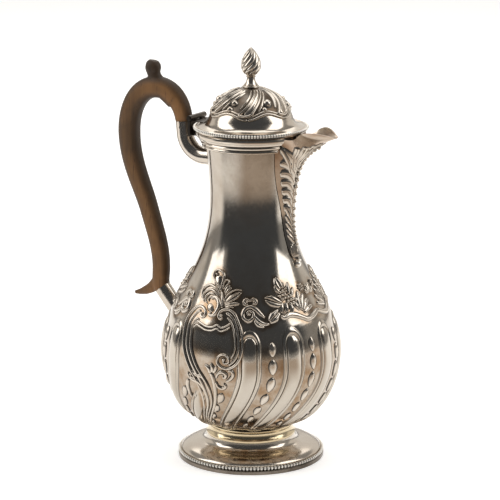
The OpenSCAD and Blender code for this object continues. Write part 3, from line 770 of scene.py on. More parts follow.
# ---- Garlands. Over each cartouche a shell and tall leaves, and from it to both sides a band of
# scrolls, flower heads and leaves above the lobes. Chased in the body's own sheet.
crest = [
    # the tall spoon-shaped leaf, its smooth middle and its rim
    ([(2.5, 126.5), (-1.4, 130.9), (-3.4, 135.6)], [1.2, 2.6, 2.4], [0.6, 1.1, 0.9], False),
    ([(3.6, 125.6), (1.2, 128.7), (-4.2, 131.7), (-7.6, 134.2), (-7.8, 137.2), (-4.8, 138.8),
      (0.2, 138.2), (3.6, 136.2), (3.8, 132.8), (3.2, 129.4), (4.1, 125.6)],
      [0.6, 0.75, 0.8, 0.85, 0.85, 0.85, 0.85, 0.8, 0.7, 0.6],
      [1.2, 1.6, 1.9, 1.9, 1.9, 1.6, 1.2], False),
    # a small loop and tips beside it
    ([(5.7, 127.1), (5.1, 130.2), (6.4, 132.9), (9.2, 133.1), (10.0, 131.4), (7.8, 129.4),
      (6.9, 127.2)], 0.62, 1.4, False),
    ([(7.2, 125.0), (9.2, 128.3), (11.4, 130.2)], [0.6, 1.4, 0.5], [1.0, 1.5, 0.8], True),
    ([(8.0, 123.6), (10.7, 127.1), (13.6, 128.8)], [0.6, 1.3, 0.5], [1.0, 1.5, 0.8], True),
    # the broad leaf to the right
    ([(9.2, 119.4), (14.4, 122.6), (20.6, 126.0)], [1.2, 2.9, 1.0], [0.6, 1.1, 0.7], False),
    ([(8.9, 118.6), (9.9, 122.7), (13.4, 125.9), (18.4, 127.7), (23.2, 127.4)],
      [0.6, 0.8, 0.8, 0.7, 0.4], [1.1, 1.7, 1.7, 1.1], False),
    ([(8.9, 118.2), (13.6, 120.0), (19.1, 122.8), (23.0, 126.4)], [0.6, 0.8, 0.75, 0.4],
      [1.1, 1.7, 1.5, 1.0], False),
    ([(8.9, 118.4), (14.9, 122.9), (21.8, 126.7)], [0.6, 0.7, 0.4], [1.2, 1.7, 1.2], False),
    ([(9.1, 117.4), (13.9, 118.5), (18.2, 119.2), (22.0, 119.0)], [0.7, 1.5, 1.5, 0.4],
      [0.9, 1.5, 1.3, 0.7], True),
    ([(10.1, 116.6), (13.3, 117.1), (17.4, 116.9)], [0.6, 1.1, 0.4], [0.8, 1.2, 0.7], False),
    # the curled acanthus to the left
    ([(3.8, 122.7), (-0.3, 126.6), (-7.9, 128.9), (-14.3, 126.9), (-15.4, 123.1), (-12.8, 119.4)],
      [0.5, 0.85, 1.0, 1.0, 0.9, 0.6], [0.9, 1.6, 1.7, 1.3, 0.8], False),
    ([(2.6, 121.9), (-1.0, 124.9), (-7.0, 126.2), (-11.7, 124.1), (-12.6, 120.9), (-9.6, 117.9)],
      [0.5, 0.85, 1.0, 1.0, 0.85, 0.5], [0.9, 1.6, 1.7, 1.3, 0.8], False),
    ([(0.8, 121.8), (-2.4, 123.6), (-6.7, 123.7), (-9.2, 121.7), (-8.8, 119.2), (-5.7, 117.3)],
      [0.5, 0.8, 0.9, 0.9, 0.7, 0.4], [0.9, 1.5, 1.6, 1.2, 0.7], False),
    ([(-1.4, 121.4), (-4.3, 121.9), (-6.0, 120.8), (-5.6, 118.7)], [0.5, 0.8, 0.7, 0.4],
      [0.9, 1.4, 0.9], False),
    ([(-4.9, 117.6), (-2.4, 115.3), (0.8, 113.2)], [1.4, 2.3, 1.2], [0.6, 1.0, 0.7], True),
    ([(-3.6, 120.4), (-1.2, 122.1), (2.6, 120.9), (4.9, 117.8), (4.3, 114.5), (2.3, 111.5),
      (-0.9, 110.7), (-2.6, 111.9)], [0.8, 1.3, 1.7, 1.8, 1.6, 1.2, 1.0, 0.7],
      [1.2, 1.9, 2.1, 1.8, 1.4, 1.1], False),
    ([(4.3, 126.3), (5.9, 122.8), (7.5, 119.3), (7.9, 115.6)], [0.8, 1.1, 1.2, 0.8],
      [1.2, 1.5, 1.0], False),
]
garland = [
    ([(28.6, 119.2), (26.4, 118.9), (25.2, 120.6), (27.0, 122.3), (30.0, 121.2), (33.0, 122.4),
      (35.4, 121.0), (34.4, 119.2), (32.2, 119.4)], [0.7, 0.9, 1.0, 0.9, 0.8, 0.9, 1.0, 0.8, 0.6], 1.1),
    ([(29.4, 112.2), (28.2, 113.8), (30.2, 115.2), (32.8, 113.6), (32.2, 110.6), (28.6, 109.0),
      (25.0, 111.6), (26.0, 115.8), (30.2, 117.6), (34.6, 116.2), (38.4, 113.2), (41.4, 110.6)],
      [0.7, 0.8, 0.9, 1.0, 1.1, 1.2, 1.3, 1.3, 1.4, 1.5, 1.2, 0.6], [1.0, 1.3, 1.5, 1.4, 1.0]),
    ([(33.0, 112.6), (36.0, 109.4), (40.0, 107.2), (44.6, 107.0)], [0.7, 1.4, 1.2, 0.5], [1.0, 1.3, 0.8]),
    ([(33.2, 109.6), (36.4, 106.6), (40.6, 105.2)], [0.7, 1.2, 0.5], [0.9, 1.1, 0.7]),
    ([(44.0, 108.6), (47.6, 112.4), (53.2, 115.6)], [0.7, 1.7, 0.8], [0.8, 1.5, 0.9]),
    ([(44.6, 107.6), (49.2, 109.6), (53.8, 113.6)], [0.7, 1.7, 0.8], [0.8, 1.5, 0.9]),
    ([(42.4, 122.8), (47.8, 122.8), (53.0, 120.6), (57.0, 118.6)], [0.4, 1.6, 1.7, 0.8], [0.7, 1.5, 1.6]),
    ([(42.8, 121.6), (47.4, 119.2), (52.6, 117.8), (57.0, 117.6)], [0.4, 1.6, 1.7, 0.8], [0.7, 1.5, 1.6]),
    ([(54.6, 134.8), (55.2, 130.6), (58.0, 126.4)], [0.4, 1.7, 1.0], [0.8, 1.6, 1.4]),
    ([(55.6, 135.0), (58.4, 131.6), (60.4, 127.2)], [0.4, 1.6, 0.9], [0.8, 1.6, 1.4]),
    ([(53.0, 129.6), (54.6, 127.0), (57.6, 124.4)], [0.4, 1.5, 0.9], [0.8, 1.5, 1.3]),
    ([(67.6, 131.2), (66.2, 127.6), (65.0, 123.2)], [0.4, 1.6, 1.0], [0.8, 1.6, 1.4]),
    ([(71.4, 127.6), (69.0, 124.6), (66.6, 121.8)], [0.4, 1.6, 1.0], [0.8, 1.6, 1.4]),
    ([(57.0, 119.4), (55.6, 116.2), (55.0, 112.6)], [1.1, 1.8, 0.8], [1.3, 1.5, 0.9]),
    ([(60.4, 119.2), (59.8, 115.6), (59.6, 112.8)], [1.1, 1.7, 0.8], [1.3, 1.5, 0.9]),
    ([(64.2, 118.0), (64.4, 115.0), (64.0, 112.0)], [1.1, 1.8, 0.8], [1.3, 1.5, 0.9]),
    ([(67.6, 118.8), (69.8, 115.8), (71.4, 112.8)], [1.1, 1.8, 0.8], [1.3, 1.5, 0.9]),
    ([(68.8, 120.4), (73.0, 119.2), (76.6, 120.6)], [1.0, 1.7, 0.5], [1.3, 1.4, 0.8]),
    ([(53.6, 111.4), (56.4, 110.0), (61.4, 111.4), (67.2, 110.4), (72.1, 108.4), (76.6, 106.8),
      (82.2, 107.6), (88.0, 109.6), (90.0, 110.2)], [0.8, 1.5, 1.8, 1.8, 1.6, 1.7, 1.6, 1.4, 1.4], 1.5),
    ([(73.4, 112.2), (75.6, 117.0), (80.8, 122.6)], [0.9, 1.8, 1.0], [1.1, 1.6, 1.0]),
    ([(74.2, 111.6), (78.6, 115.6), (84.4, 118.8)], [0.9, 1.8, 1.0], [1.1, 1.6, 1.0]),
    ([(74.6, 110.8), (80.0, 112.8), (86.4, 114.0)], [0.9, 1.6, 1.0], [1.1, 1.5, 1.0]),
    ([(72.6, 112.6), (72.6, 118.4), (75.6, 125.0)], [0.9, 1.6, 0.9], [1.1, 1.6, 1.0]),
    ([(84.2, 124.4), (86.2, 122.2), (89.0, 123.2), (88.6, 126.0), (86.0, 126.8)],
      [0.7, 1.1, 1.1, 0.8], 1.2),
]
bosses = [
    (27.8, 120.6, 0.9, 1.2), (33.2, 120.8, 0.9, 1.2), (30.0, 112.9, 1.1, 1.6), (61.6, 130.2, 1.3, 1.6),
    (86.8, 124.4, 0.9, 1.3),
]
flowers = [(58.6, 123.4, 3.3), (65.2, 120.0, 3.5), (61.6, 126.9, 2.3), (80.4, 126.4, 2.3)]
band = Chasing(on_body)
for base in cartouche_at:
    for path, w, h, veined in crest:
        band.rib(moved(path, base), w, h)
        if veined:
            band.rib(moved(path, base), 0.26, np.array(h) + 0.12, profile=vein)
    band.boss(base - 4.6, 136.2, 1.1, 1.9)
    band.boss(base - 0.9, 111.9, 1.0, 1.6)
    for hand in (1, -1):
        for path, w, h in garland:
            band.rib(moved(path, base, hand), np.array(w) * 1.12, h)
            if len(path) < 5 and np.max(w) > 1.4:        # the leaves have a vein, the scrolls none
                band.rib(moved(path, base, hand), 0.24, np.array(h) + 0.1, profile=vein)
        for a, z, r, h in bosses:
            band.boss(base + hand * a, z, r, h)
        for a, z, r in flowers:
            for petal in range(6):
                at = math.radians(60 * petal + 12)
                east, up = math.cos(at) / 0.95, math.sin(at)     # 0.95 mm to a degree up there
                band.boss(base + hand * (a + east * r * 0.72), z + up * r * 0.72, r * 0.42, 1.7, 12)
            band.boss(base + hand * a, z, r * 0.36, 2.5, 12)
garlands = band.made("garlands", relief_silver)
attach(garlands, "pot")

# old polish and tarnish stay round the chasing, on the sheet of the neck and the belly


def points_of(piece):
    """The vertices of a piece, in mm."""
    co = np.zeros(len(piece.data.vertices) * 3)
    piece.data.vertices.foreach_get("co", co)
    return co.reshape(-1, 3) / mm


def compass(co):
    """The angle of each point round the pot's axis, from 0 to 360 degrees."""
    return np.degrees(np.arctan2(co[:, 1], co[:, 0])) % 360


low_z, high_z = 20, 149                  # the heights between which the chasing lies
near = np.zeros((360, high_z - low_z + 1))
worked = np.concatenate(band.points + frames.points)
worked_row = np.clip(worked[:, 2], low_z, high_z).astype(int) - low_z
np.add.at(near, (compass(worked).astype(int) % 360, worked_row), 1)
for axis in (0, 1):
    near = sum(np.roll(near, k, axis) * math.exp(-(k / 1.5) ** 2) for k in range(-2, 3))
near = np.clip(near / 9.0, 0, 1)
for piece in (neck, belly):
    co = points_of(piece)
    at, height = compass(co), np.clip(co[:, 2], low_z, high_z - 0.1) - low_z
    i, j = at.astype(int) % 360, height.astype(int)
    u, v = at % 1, height % 1
    share = near[i, j] * (1 - u) * (1 - v) + near[(i + 1) % 360, j] * u * (1 - v)
    share += near[i, j + 1] * (1 - u) * v + near[(i + 1) % 360, j + 1] * u * v
    share *= co[:, 2] < 145
    old = np.zeros(len(co))
    if "stain" in piece.data.attributes:
        piece.data.attributes["stain"].data.foreach_get("value", old)
    paint(piece, "stain", np.clip(np.maximum(old, share), 0, 1))

# ---- Mouth moulding. A reeded wire soldered round the mouth, cut away where the spout enters.
# The lid closes on its top face.
moulding_line = [
    (31.0, 218.0), (32.3, 218.1), (33.1, 218.6), (33.3, 219.4), (33.1, 220.1), (32.75, 220.6),
    (33.3, 220.9), (34.1, 221.3), (34.4, 222.1), (34.2, 222.8), (33.9, 223.2), (34.6, 223.5),
    (35.6, 223.9), (36.1, 224.6), (36.4, 225.2), (37.1, 225.6), (37.5, 226.4), (37.5, 227.8),
    (37.3, 228.6), (36.7, 229.0), (31.0, 229.0), (31.0, 218.0),
]
moulding = turn("mouth_moulding_reeds", moulding_line, plain_silver, 192)
bpy.ops.object.select_all(action="DESELECT")
notch_size, notch_at = (50, 29.1, 30), (40, 0, 223.5)
bpy.ops.mesh.primitive_cube_add(
    size=1, location=[v * mm for v in notch_at], scale=[v * mm for v in notch_size]
)
cut_away(moulding, bpy.context.object, 32)
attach(moulding, "pot")
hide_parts("mouth_moulding")

# ---- Spout. Folded from one sheet to a V that opens to a broad lip, soldered over the strainer
# holes. Its toe ends in a small ball.
toe_z, mouth_z, half_wide = 143.0, 229.0, 14.5
ridge_curves = [
    [(38.0, toe_z), (34.8, 156), (32.8, 160), (32.8, 172)],
    [(32.8, 172), (32.8, 186), (35, 203), (40, 211.5)],
    [(40, 211.5), (45, 220), (56, 225.5), (66.5, 229.6)],
]
solder_curves = [
    [(2.4, toe_z), (6, 147), (5.5, 160), (6.2, 172)],
    [(6.2, 172), (7, 187), (half_wide, 196), (half_wide, 228.6)],
]
lip_curve = [(27.9, half_wide, 228.6), (49.8, 2.5, 222), (37.7, 29, 241), (66, 2.6, 230.4)]


def on_spout(u, s, under=0.0):
    """Point of the spout: u runs from 0 at the toe to 3 at the lip, s from -1 to 1 across."""
    u, s = np.broadcast_arrays(np.asarray(u, float), np.asarray(s, float))
    k = np.clip(u.astype(int), 0, 2)[..., None]
    ridge = sum(np.where(k == i, bezier(ridge_curves[i], u - i), 0) for i in range(3))
    solder = np.where(k == 0, bezier(solder_curves[0], u), bezier(solder_curves[1], u - 1))
    wide = np.maximum(solder[..., 0] - under, 0.4)
    round_r = body_r(solder[..., 1]) + trim + 0.03
    on_neck = np.stack([np.sqrt(np.maximum(round_r ** 2 - wide ** 2, 1)), wide, solder[..., 1]], -1)
    lip = bezier(lip_curve, np.clip(u - 2, 0, 1.02))
    lip[..., 1] = np.maximum(lip[..., 1] - under, 0.4)
    edge = np.where(u[..., None] > 2, lip, on_neck)
    flat = edge[..., [0, 2]]
    away = flat - ridge
    long = np.linalg.norm(away, axis=-1, keepdims=True)
    pinned = ridge + away * np.minimum(under * 1.25 / long, 0.85)
    share = np.sqrt(s * s + 0.0009)[..., None] ** (1.25 + 0.25 * u)[..., None]
    point = pinned + (flat - pinned) * share
    return np.stack([point[..., 0], edge[..., 1] * s, point[..., 1]], -1)


across = np.sin(np.linspace(-1, 1, 45) * math.pi / 2) * 0.35 + np.linspace(-1, 1, 45) * 0.65
along_u, across_s = np.meshgrid(np.linspace(0, 3, 121), across, indexing="ij")
outer_face = on_spout(along_u, across_s)
inner_face = on_spout(along_u, across_s, 1.3)[:, ::-1]
spout_net = np.concatenate([outer_face, inner_face, outer_face[:, :1]], 1)
middle_line = (outer_face + inner_face[:, ::-1]) / 2
closing = np.concatenate([middle_line, middle_line[:, ::-1], middle_line[:, :1]], 1)
spout_net = np.concatenate([closing[:1], spout_net, closing[-1:]])
spout_silver = silver("spout_silver", (0.56, 0.49, 0.41), 0.14, 1.0, (0.34, 0.215, 0.135), 0.12)
spout = wrap("folded_spout", spout_net, spout_silver, 45)
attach(spout, "pot")
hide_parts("spout")

# ---- Acanthus leaves. One cast leaf is soldered to each side of the spout, its stem by the ridge,
# with toothed fronds, a tulip of lobes under the mouth and a long frond towards the lip.
tulip = [
    ((1.70, 0.40), (1.98, 0.87), 1.9), ((1.74, 0.32), (2.24, 0.70), 2.1),
    ((1.76, 0.24), (2.42, 0.52), 2.2), ((1.78, 0.17), (2.50, 0.34), 2.0),
]
lip_fronds = [[(1.80, 0.10), (2.24, 0.10), (2.74, 0.20)], [(1.96, 0.15), (2.28, 0.20), (2.60, 0.34)]]
for side, name, leaf_node in (
    (1, "acanthus_left", "spout_leaf_left"), (-1, "acanthus_right", "spout_leaf_right"),
):
    leaf = Chasing(lambda a, b: on_spout(a, b * 0.01), -1)

    def frond(path, w, h, profile=rib):
        """A rib on this side of the spout, from pairs of length along it and share across."""
        leaf.rib([(u, side * s * 100) for u, s in path], w, h, 0, profile)

    def tongue(path, w, h):
        """A frond with a vein down its middle."""
        frond(path, w, h)
        frond(path, 0.3, np.array(h) + 0.12, vein)

    for k in range(5):                   # long veins at the foot of the leaf
        u = 0.36 + 0.125 * k
        lobe = [(u, 0.07), (u + 0.10, 0.22), (u + 0.22, 0.46), (u + 0.33, 0.72)]
        tongue(lobe, [1.0, 1.6, 1.7, 1.2], [0.8, 1.0, 1.05, 0.8])
    for k in range(7):                   # round lobes up to the tulip
        u = 0.98 + 0.135 * k
        widths = np.array([1.0, 2.0, 2.6, 2.5]) * (1 + 0.035 * k)
        lobe = [(u, 0.10), (u + 0.10, 0.26), (u + 0.18, 0.52), (u + 0.175, 0.84)]
        tongue(lobe, widths, [0.8, 0.85, 0.9, 0.8])
    for k in range(5):                   # the turned down tips over the toe
        root, bend = (0.50 - 0.02 * k, 0.10 + 0.14 * k), (0.28 - 0.02 * k, 0.12 + 0.17 * k)
        tip = [root, bend, (0.06 + 0.01 * k, 0.16 + 0.16 * k)]
        frond(tip, [0.8, 0.8, 0.4], 0.8)
    stem = [(0.12, 0.05), (0.6, 0.07), (1.1, 0.08), (1.6, 0.09)]
    frond(stem, [0.8, 1.0, 1.1, 1.2], [0.9, 1.2, 1.3])
    for k in range(20):                  # teeth along the ridge
        u = 0.30 + 0.116 * k
        frond([(u, 0.06), (u + 0.03, 0.0), (u + 0.07, -0.07)], [1.2, 1.2, 0.5], [1.4, 2.6, 1.8])
    for start, end, w in tulip:
        bend = ((start[0] + end[0]) / 2 + 0.05, (start[1] + end[1]) / 2 - 0.05)
        tongue([start, bend, end], [0.9, w, w], [1.0, 1.2, 1.1])
    for path in lip_fronds:
        tongue(path, [1.2, 2.0, 0.9], [1.2, 1.5, 0.9])
    made = leaf.made(name, relief_silver)
    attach(made, "pot")
    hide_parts(leaf_node)

# ---- Ball at the spout's toe. A cast ball with a collar, soldered under the point of the V.
bpy.ops.object.select_all(action="DESELECT")
bpy.ops.mesh.primitive_uv_sphere_add(
    segments=32, ring_count=20, radius=2.5 * mm, location=(37.0 * mm, 0, 140.4 * mm)
)
ball = bpy.context.object
ball.name = "toe_ball"
bpy.ops.object.mode_set(mode="EDIT")
bpy.ops.mesh.select_all(action="SELECT")
bpy.ops.transform.resize(value=(0.95, 1, 1.08))
bpy.ops.object.mode_set(mode="OBJECT")
bpy.ops.object.transform_apply()
bpy.ops.mesh.primitive_torus_add(
    major_segments=32, minor_segments=10, major_radius=1.9 * mm, minor_radius=0.55 * mm,
    location=(37.2 * mm, 0, 142.7 * mm), rotation=(0, -0.25, 0),
)
bpy.ops.object.transform_apply()
ball.select_set(True)
bpy.context.view_layer.objects.active = ball
bpy.ops.object.join()
ball.data.materials.append(bead_silver)
bpy.ops.object.shade_smooth()
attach(ball, "pot")
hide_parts("spout_pellet")

# ---- Handle sockets and pins. The upper socket is a bent tube, the lower one straight, both
# soldered to the body. Silver pins through socket and tenon are filed flush.
socket_silver = silver("socket_silver", (0.60, 0.54, 0.47), 0.14, 0.6, (0.38, 0.30, 0.22), 0.12)


def refinish(material, *names):
    """Gives CAD nodes that keep their shape another material."""
    for name in names:
        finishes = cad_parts[name].data.materials
        finishes.clear()
        finishes.append(material)


refinish(socket_silver, "upper_socket", "lower_socket", "upper_handle_pin", "lower_handle_pin")

# ---- Handle. Carved from one piece of stained fruitwood: a double curve with soft edges, a scrolled
# thumb rest that springs from the short limb, and a spur over the lower socket. Worn on the grip.
grip_wide, grip_thick, arch, reach = 15.4, 13.0, 21.5, 99.0
upper = np.array([-53.65, 230.47])
lower = np.array([-72.2, 109.5])
down = np.array([math.cos(math.radians(50)), -math.sin(math.radians(50))])
knee = lower + [-10.8, 55.5]
grip_curves = [
    [upper, upper + [-0.9, 11], [upper[0] - 8.5, upper[1] + arch], upper + [-21.3, arch]],
    [upper + [-21.3, arch], upper + [-35, arch], [-reach, upper[1] + 8], [-reach, upper[1] - 11.5]],
    [[-reach, upper[1] - 11.5], [-reach, upper[1] - 33.5], knee + [-5.5, 17], knee],
    [knee, knee + [5, -15.5], lower + [-0.3, 27.5], lower + [-1.3, 11.5]],
    [lower + [-1.3, 11.5], lower + [-1.6, 7.5], lower - 3.6 * down, lower],
]
thumb_curves = [[
    upper + [-6.5, arch - 7.5], upper + [-15, arch - 0.5], upper + [-27.5, arch + 1.5],
    upper + [-24.6, arch + 18.2],
]]
spur_curves = [[lower + [-1, 8], lower + [-5, 1], lower + [-12, -4.5], lower + [-23.5, -6.4]]]
# each limb: its curves, its thickness as a share along them, steps, sides and how square it is
limbs = [
    (grip_curves, [(0, 0.77), (1, 0.97), (2, 1), (3, 0.85), (4, 0.8), (5, 0.76)], 26, 40, 0.80),
    (thumb_curves, [(0, 0.98), (0.35, 0.90), (0.65, 0.66), (0.78, 0.60), (0.88, 0.74), (0.96, 0.68),
                    (1, 0.45)], 40, 32, 0.9),
    (spur_curves, [(0, 0.75), (0.7, 0.4), (1, 0.16)], 30, 32, 0.85),
]
pieces = []
for curves, shares, steps, sides, square in limbs:
    t = np.linspace(0, len(curves), len(curves) * steps + 1)
    k = np.minimum(t.astype(int), len(curves) - 1)
    centre = np.array([bezier(curves[i], x - i) for i, x in zip(k, t)])
    run = unit(np.gradient(centre, axis=0))
    size = np.interp(t, *np.array(shares).T)
    around = np.radians(np.linspace(0, 360, sides + 1))
    x = np.sign(np.cos(around)) * np.abs(np.cos(around)) ** square * grip_wide / 2
    y = np.sign(np.sin(around)) * np.abs(np.sin(around)) ** square * grip_thick / 2
    rows = np.stack([
        centre[:, :1] - run[:, 1:] * x * size[:, None],
        y * size[:, None],
        centre[:, 1:] + run[:, :1] * x * size[:, None],
    ], 2)
    ends = [np.broadcast_to(rows[i].mean(0), rows[i].shape)[None] for i in (0, -1)]
    pieces.append(wrap("limb", np.concatenate([ends[0], rows, ends[1]]), plain_silver))
# round tenons that go into the sockets
tenon_r, tenon_long, sunk_by = 5.02, 7.6, 3.2
rising = np.array([-math.cos(math.radians(85)), math.sin(math.radians(85))])
for end, direction in ((upper, rising), (lower, -down)):
    bpy.ops.object.select_all(action="DESELECT")
    at = end - sunk_by * direction
    bpy.ops.mesh.primitive_cylinder_add(
        vertices=40, radius=tenon_r * mm, depth=tenon_long * mm, location=(at[0] * mm, 0, at[1] * mm),
        rotation=(0, math.atan2(*direction), 0),
    )
    bpy.ops.object.transform_apply()
    pieces.append(bpy.context.object)
for piece in pieces:
    piece.select_set(True)
bpy.context.view_layer.objects.active = pieces[0]
bpy.ops.object.join()
handle = bpy.context.object
handle.name = "carved_handle"
blocking = handle.modifiers.new("one_piece", "REMESH")
blocking.mode, blocking.voxel_size, blocking.use_smooth_shade = "VOXEL", 0.55 * mm, True
bpy.ops.object.modifier_apply(modifier=blocking.name)
sanding = handle.modifiers.new("sanding", "SMOOTH")
sanding.factor, sanding.iterations = 0.5, 5
bpy.ops.object.modifier_apply(modifier=sanding.name)
bpy.ops.object.shade_smooth()

# painted shade: the grip is painted darker towards the inner and outer edges of its section, for the
# shade and dark reflections there; its middle stays paler
spine = np.array([bezier(curve, t) for curve in grip_curves + spur_curves for t in np.linspace(0, 1, 24)])
gap = np.sqrt(((points_of(handle)[:, None, [0, 2]] - spine[None]) ** 2).sum(-1)).min(1)
paint(handle, "edge", np.clip((gap / (grip_wide / 2) - 0.35) / 0.6, 0, 1))

wood = Net("stained_fruitwood")
place = wood.add("TexCoord", out=3)
streak = wood.add("Mapping", {}, Vector=place, Scale=(230.0, 330.0, 9.0), Rotation=(0, 0.08, 0))
grain = wood.add("TexNoise", Vector=streak, Scale=1.0, Detail=6.0, Roughness=0.65)
fine = wood.add("Mapping", {}, Vector=place, Scale=(1400.0, 1400.0, 60.0))
pores = wood.add("TexNoise", Vector=fine, Scale=1.0, Detail=2.0)
wear = wood.add("TexNoise", Vector=place, Scale=26.0, Detail=3.0)
rim = wood.add("Attribute", {"attribute_name": "edge"}, 2)
tone = wood.blend(grain.span(0.3, 0.7), (0.060, 0.030, 0.012), (0.112, 0.058, 0.021))
tone = wood.blend(wear.span(0.38, 0.64) * 0.85 * (1 - rim), tone, (0.235, 0.108, 0.032))
# painted shade: where the edge value is high the wood is painted near-black, standing in for shade and
# dark reflections along the grip's edges
tone = wood.blend(rim * 0.72, tone, (0.024, 0.015, 0.009))
tone = wood.blend(pores.span(0.60, 0.72) * 0.6, tone, (0.015, 0.009, 0.006))
nap = wood.add("Bump", Strength=0.25, Distance=0.00015, Height=grain * 0.5 - pores.span(0.6, 0.75) * 0.6)
wood.surface.inputs["Specular IOR Level"].default_value = 0.3
wood.finish(Base_Color=tone, Roughness=0.36 + 0.22 * grain + 0.12 * wear, Normal=nap)
handle.data.materials.clear()
handle.data.materials.append(wood.material)
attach(handle, "pot")
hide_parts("handle")

# ---- Hinge. Five knuckles on a pin: three on a bracket soldered behind the mouth and two on the
# lid's leaf. Grease and tarnish darken it.
hinge_silver = silver("hinge_silver", (0.14, 0.12, 0.10), 0.25, 0.9, (0.035, 0.028, 0.022), 0.3)
refinish(hinge_silver, "hinge_bracket", "hinge_pin", "lid_hinge_leaf")

# ---- Lid. A flat flange raised into a dome in one sheet of silver. The band above the flange is
# left plain and bright.
dome_curve = [(29.9, 231.2), (29.7, 242.0), (21.3, 253.9), (5.0, 258.5)]
dome_line = [tuple(p) for p in curve_points(dome_curve, 48)]
dome_under = [
    (r - 0.62 - 0.18 * k / 48, z - 0.8 * (k / 48) ** 0.7) for k, (r, z) in enumerate(dome_line)
][::-1]
flange_line = [
    (30.0, 230.4), (37.2, 230.4), (37.6, 230.9), (37.7, 231.7), (37.3, 232.4), (36.5, 232.6),
    (35.8, 232.2), (34.0, 232.6), (32.3, 233.2), (31.1, 234.0), (30.3, 235.0),
]
lid_line = flange_line + dome_line[9:] + [(1.6, 258.6), (1.6, 257.7)] + dome_under[:-1]
lid_line += [(29.1, 231.2), (29.1, 230.4), (30.0, 230.4)]
lid = turn("domed_lid", lid_line, plain_silver, 240, 38)


def wave_share(a):
    """Where the wavy line runs on the dome: 0 at the flange, 100 at the top."""
    return 33.5 - 5.5 * np.cos(np.radians((a + 64) * 6))


# above the wavy line the ground between the petals is matted and dark
co = points_of(lid)
share_up = np.interp(co[:, 2], bezier(dome_curve, np.linspace(0, 1, 101))[:, 1], np.arange(101))
dome_r, dome_z = np.array(dome_line).T
outside = np.hypot(co[:, 0], co[:, 1]) > np.interp(co[:, 2], dome_z, dome_r) - 0.3
matted = step(share_up - wave_share(compass(co)), 0, 5) * outside * (1 - step(co[:, 2], 258, 258.5))
paint(lid, "stain", matted)
paint(lid, "hollow", matted * 0.75)
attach(lid, "lid")
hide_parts("lid_dome")

# ---- Lid chasing. A wavy double line, and above it six twisted petals with ribs and paired
# bosses between them. Raised from inside and chased outside.


def on_dome(a, b):
    """Point of the dome at an angle and a share, 0 at the flange to 100 at the top."""
    p = bezier(dome_curve, np.asarray(b) / 100)
    return np.stack([p[..., 0] * np.cos(np.radians(a)), p[..., 0] * np.sin(np.radians(a)), p[..., 1]], -1)


petals = Chasing(on_dome)
a = np.linspace(-64, 296, 181)
for raise_by, w, h in ((0, 0.95, 1.15), (5.6, 0.75, 0.95)):
    petals.rib(np.stack([a, wave_share(a) + raise_by], 1), w, h, 300)
for k in range(6):
    trough = -64 + 60 * k
    b = np.linspace(37, 93, 11)
    lean = trough - 4 + 34 * ((b - 37) / 56) ** 0.95
    radius = bezier(dome_curve, b / 100)[:, 0]
    half = np.linspace(3.7, 1.75, 11)

    def edge_line(share, low=0, high=11):
        """A line along the petal, at a share of its half width from its middle."""
        return np.stack([lean + np.degrees(share * half / radius), b], 1)[low:high]

    tip = [(lean[0] - 0.5, 33.8)]
    rim = np.concatenate([edge_line(-1)[::-1], tip, edge_line(1)])
    petals.rib(rim, [0.5, 0.8, 1.0, 1.15, 1.0, 0.8, 0.5], [0.8, 1.9, 2.3, 1.9, 0.8], 90)
    petals.rib(edge_line(0), half * 0.62, [0.7, 1.0, 1.0, 0.6], 40)
    petals.rib(edge_line(-0.72, 1, 11), [0.5, 0.55, 0.4], [0.9, 1.3, 0.8], 40)
    petals.rib(edge_line(1.95, 1, 10), [0.6, 1.0, 1.0, 0.4], [0.8, 1.7, 1.3, 0.6], 36)
    petals.rib(edge_line(-2.0, 2, 11), [0.5, 0.9, 0.9, 0.4], [0.7, 1.6, 1.2, 0.6], 36)
    between = trough + 31
    if k % 2:
        petals.boss(between + 3, 60, 2.3, 2.6)
        petals.boss(between - 1, 47, 2.2, 2.4)
    else:
        petals.boss(between + 5, 60, 3.0, 2.9)
        petals.boss(between - 4, 48, 1.8, 2.0)
lid_chasing = petals.made("lid_chasing", relief_silver)
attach(lid_chasing, "lid")

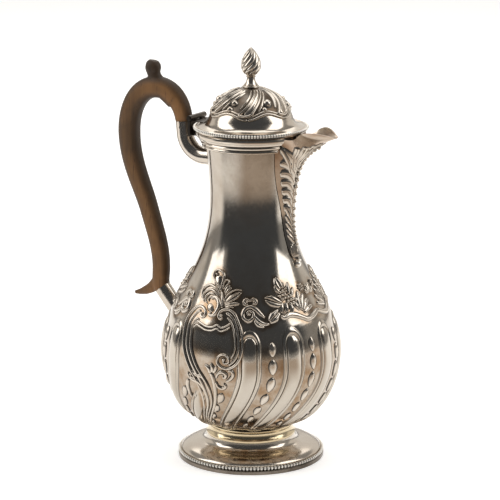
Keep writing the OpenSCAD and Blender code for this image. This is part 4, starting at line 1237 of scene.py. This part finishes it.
# ---- Beaded wire round the lid. Finer beads than the foot's, soldered to the flange's edge.
lid_beads = bead_row("lid_beads", 124, 38.35, 231.35, 1.04, 0.88)
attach(lid_beads, "lid")
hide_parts("lid_bead_wire")

# ---- Bezel. A plain ring soldered under the lid, which drops into the mouth and centres the lid.
refinish(socket_silver, "lid_bezel")

# ---- Finial. Cast in one: a moulded base, a waisted stem and a bud of twisted flames. A stud cast
# into it goes through the dome and is held by a nut inside.
stem_line = [
    (0.02, 258.53), (5.5, 258.53), (5.8, 258.8), (5.8, 259.2), (5.3, 259.7), (4.7, 259.8), (4.9, 260.2),
    (4.5, 260.7), (3.7, 261.6), (3.1, 262.9), (2.8, 264.2), (2.7, 265.1), (3.2, 265.4), (3.4, 265.8),
    (3.1, 266.2), (2.7, 266.4),
]
bud_line = curve_points([(2.7, 266.53), (8.9, 269.0), (7.6, 279.0), (0.25, 285.5)], 64)
profile = np.concatenate([np.array(stem_line), bud_line])
columns = np.linspace(0, 360, 181)
share = np.clip((profile[:, 1] - 266.5) / 19, 0, 1)[:, None]
phase = ((columns[None] - 170 * share ** 0.9) * 8 / 360) % 1
off = np.abs(phase - 0.5) * 2            # 1 in a groove, 0 on a flame's crest
swell = np.sin(np.pi * np.clip(share, 0, 1) ** 0.8) ** 0.6
cut_in = (np.sqrt(np.clip(1 - off ** 2, 0, 1)) - 0.8) * 1.15 * swell
bud_r = np.maximum(profile[:, :1] + cut_in, 0.02)
theta = np.radians(columns)[None]
finial_net = np.stack([bud_r * np.cos(theta), bud_r * np.sin(theta), profile[:, 1:] + 0 * theta], 2)
finial_net = np.concatenate([finial_net[:1] * [0, 0, 1], finial_net, finial_net[-1:] * [0, 0, 1]])
groove = np.clip((off - 0.8) * 6, 0, 1) * (swell > 0.2)
groove = np.concatenate([groove[:1] * 0, groove, groove[-1:] * 0])
finial = wrap("flame_finial", finial_net, relief_silver, 50, hollow=groove)
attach(finial, "lid")
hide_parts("finial")
refinish(socket_silver, "finial_stud", "finial_nut")
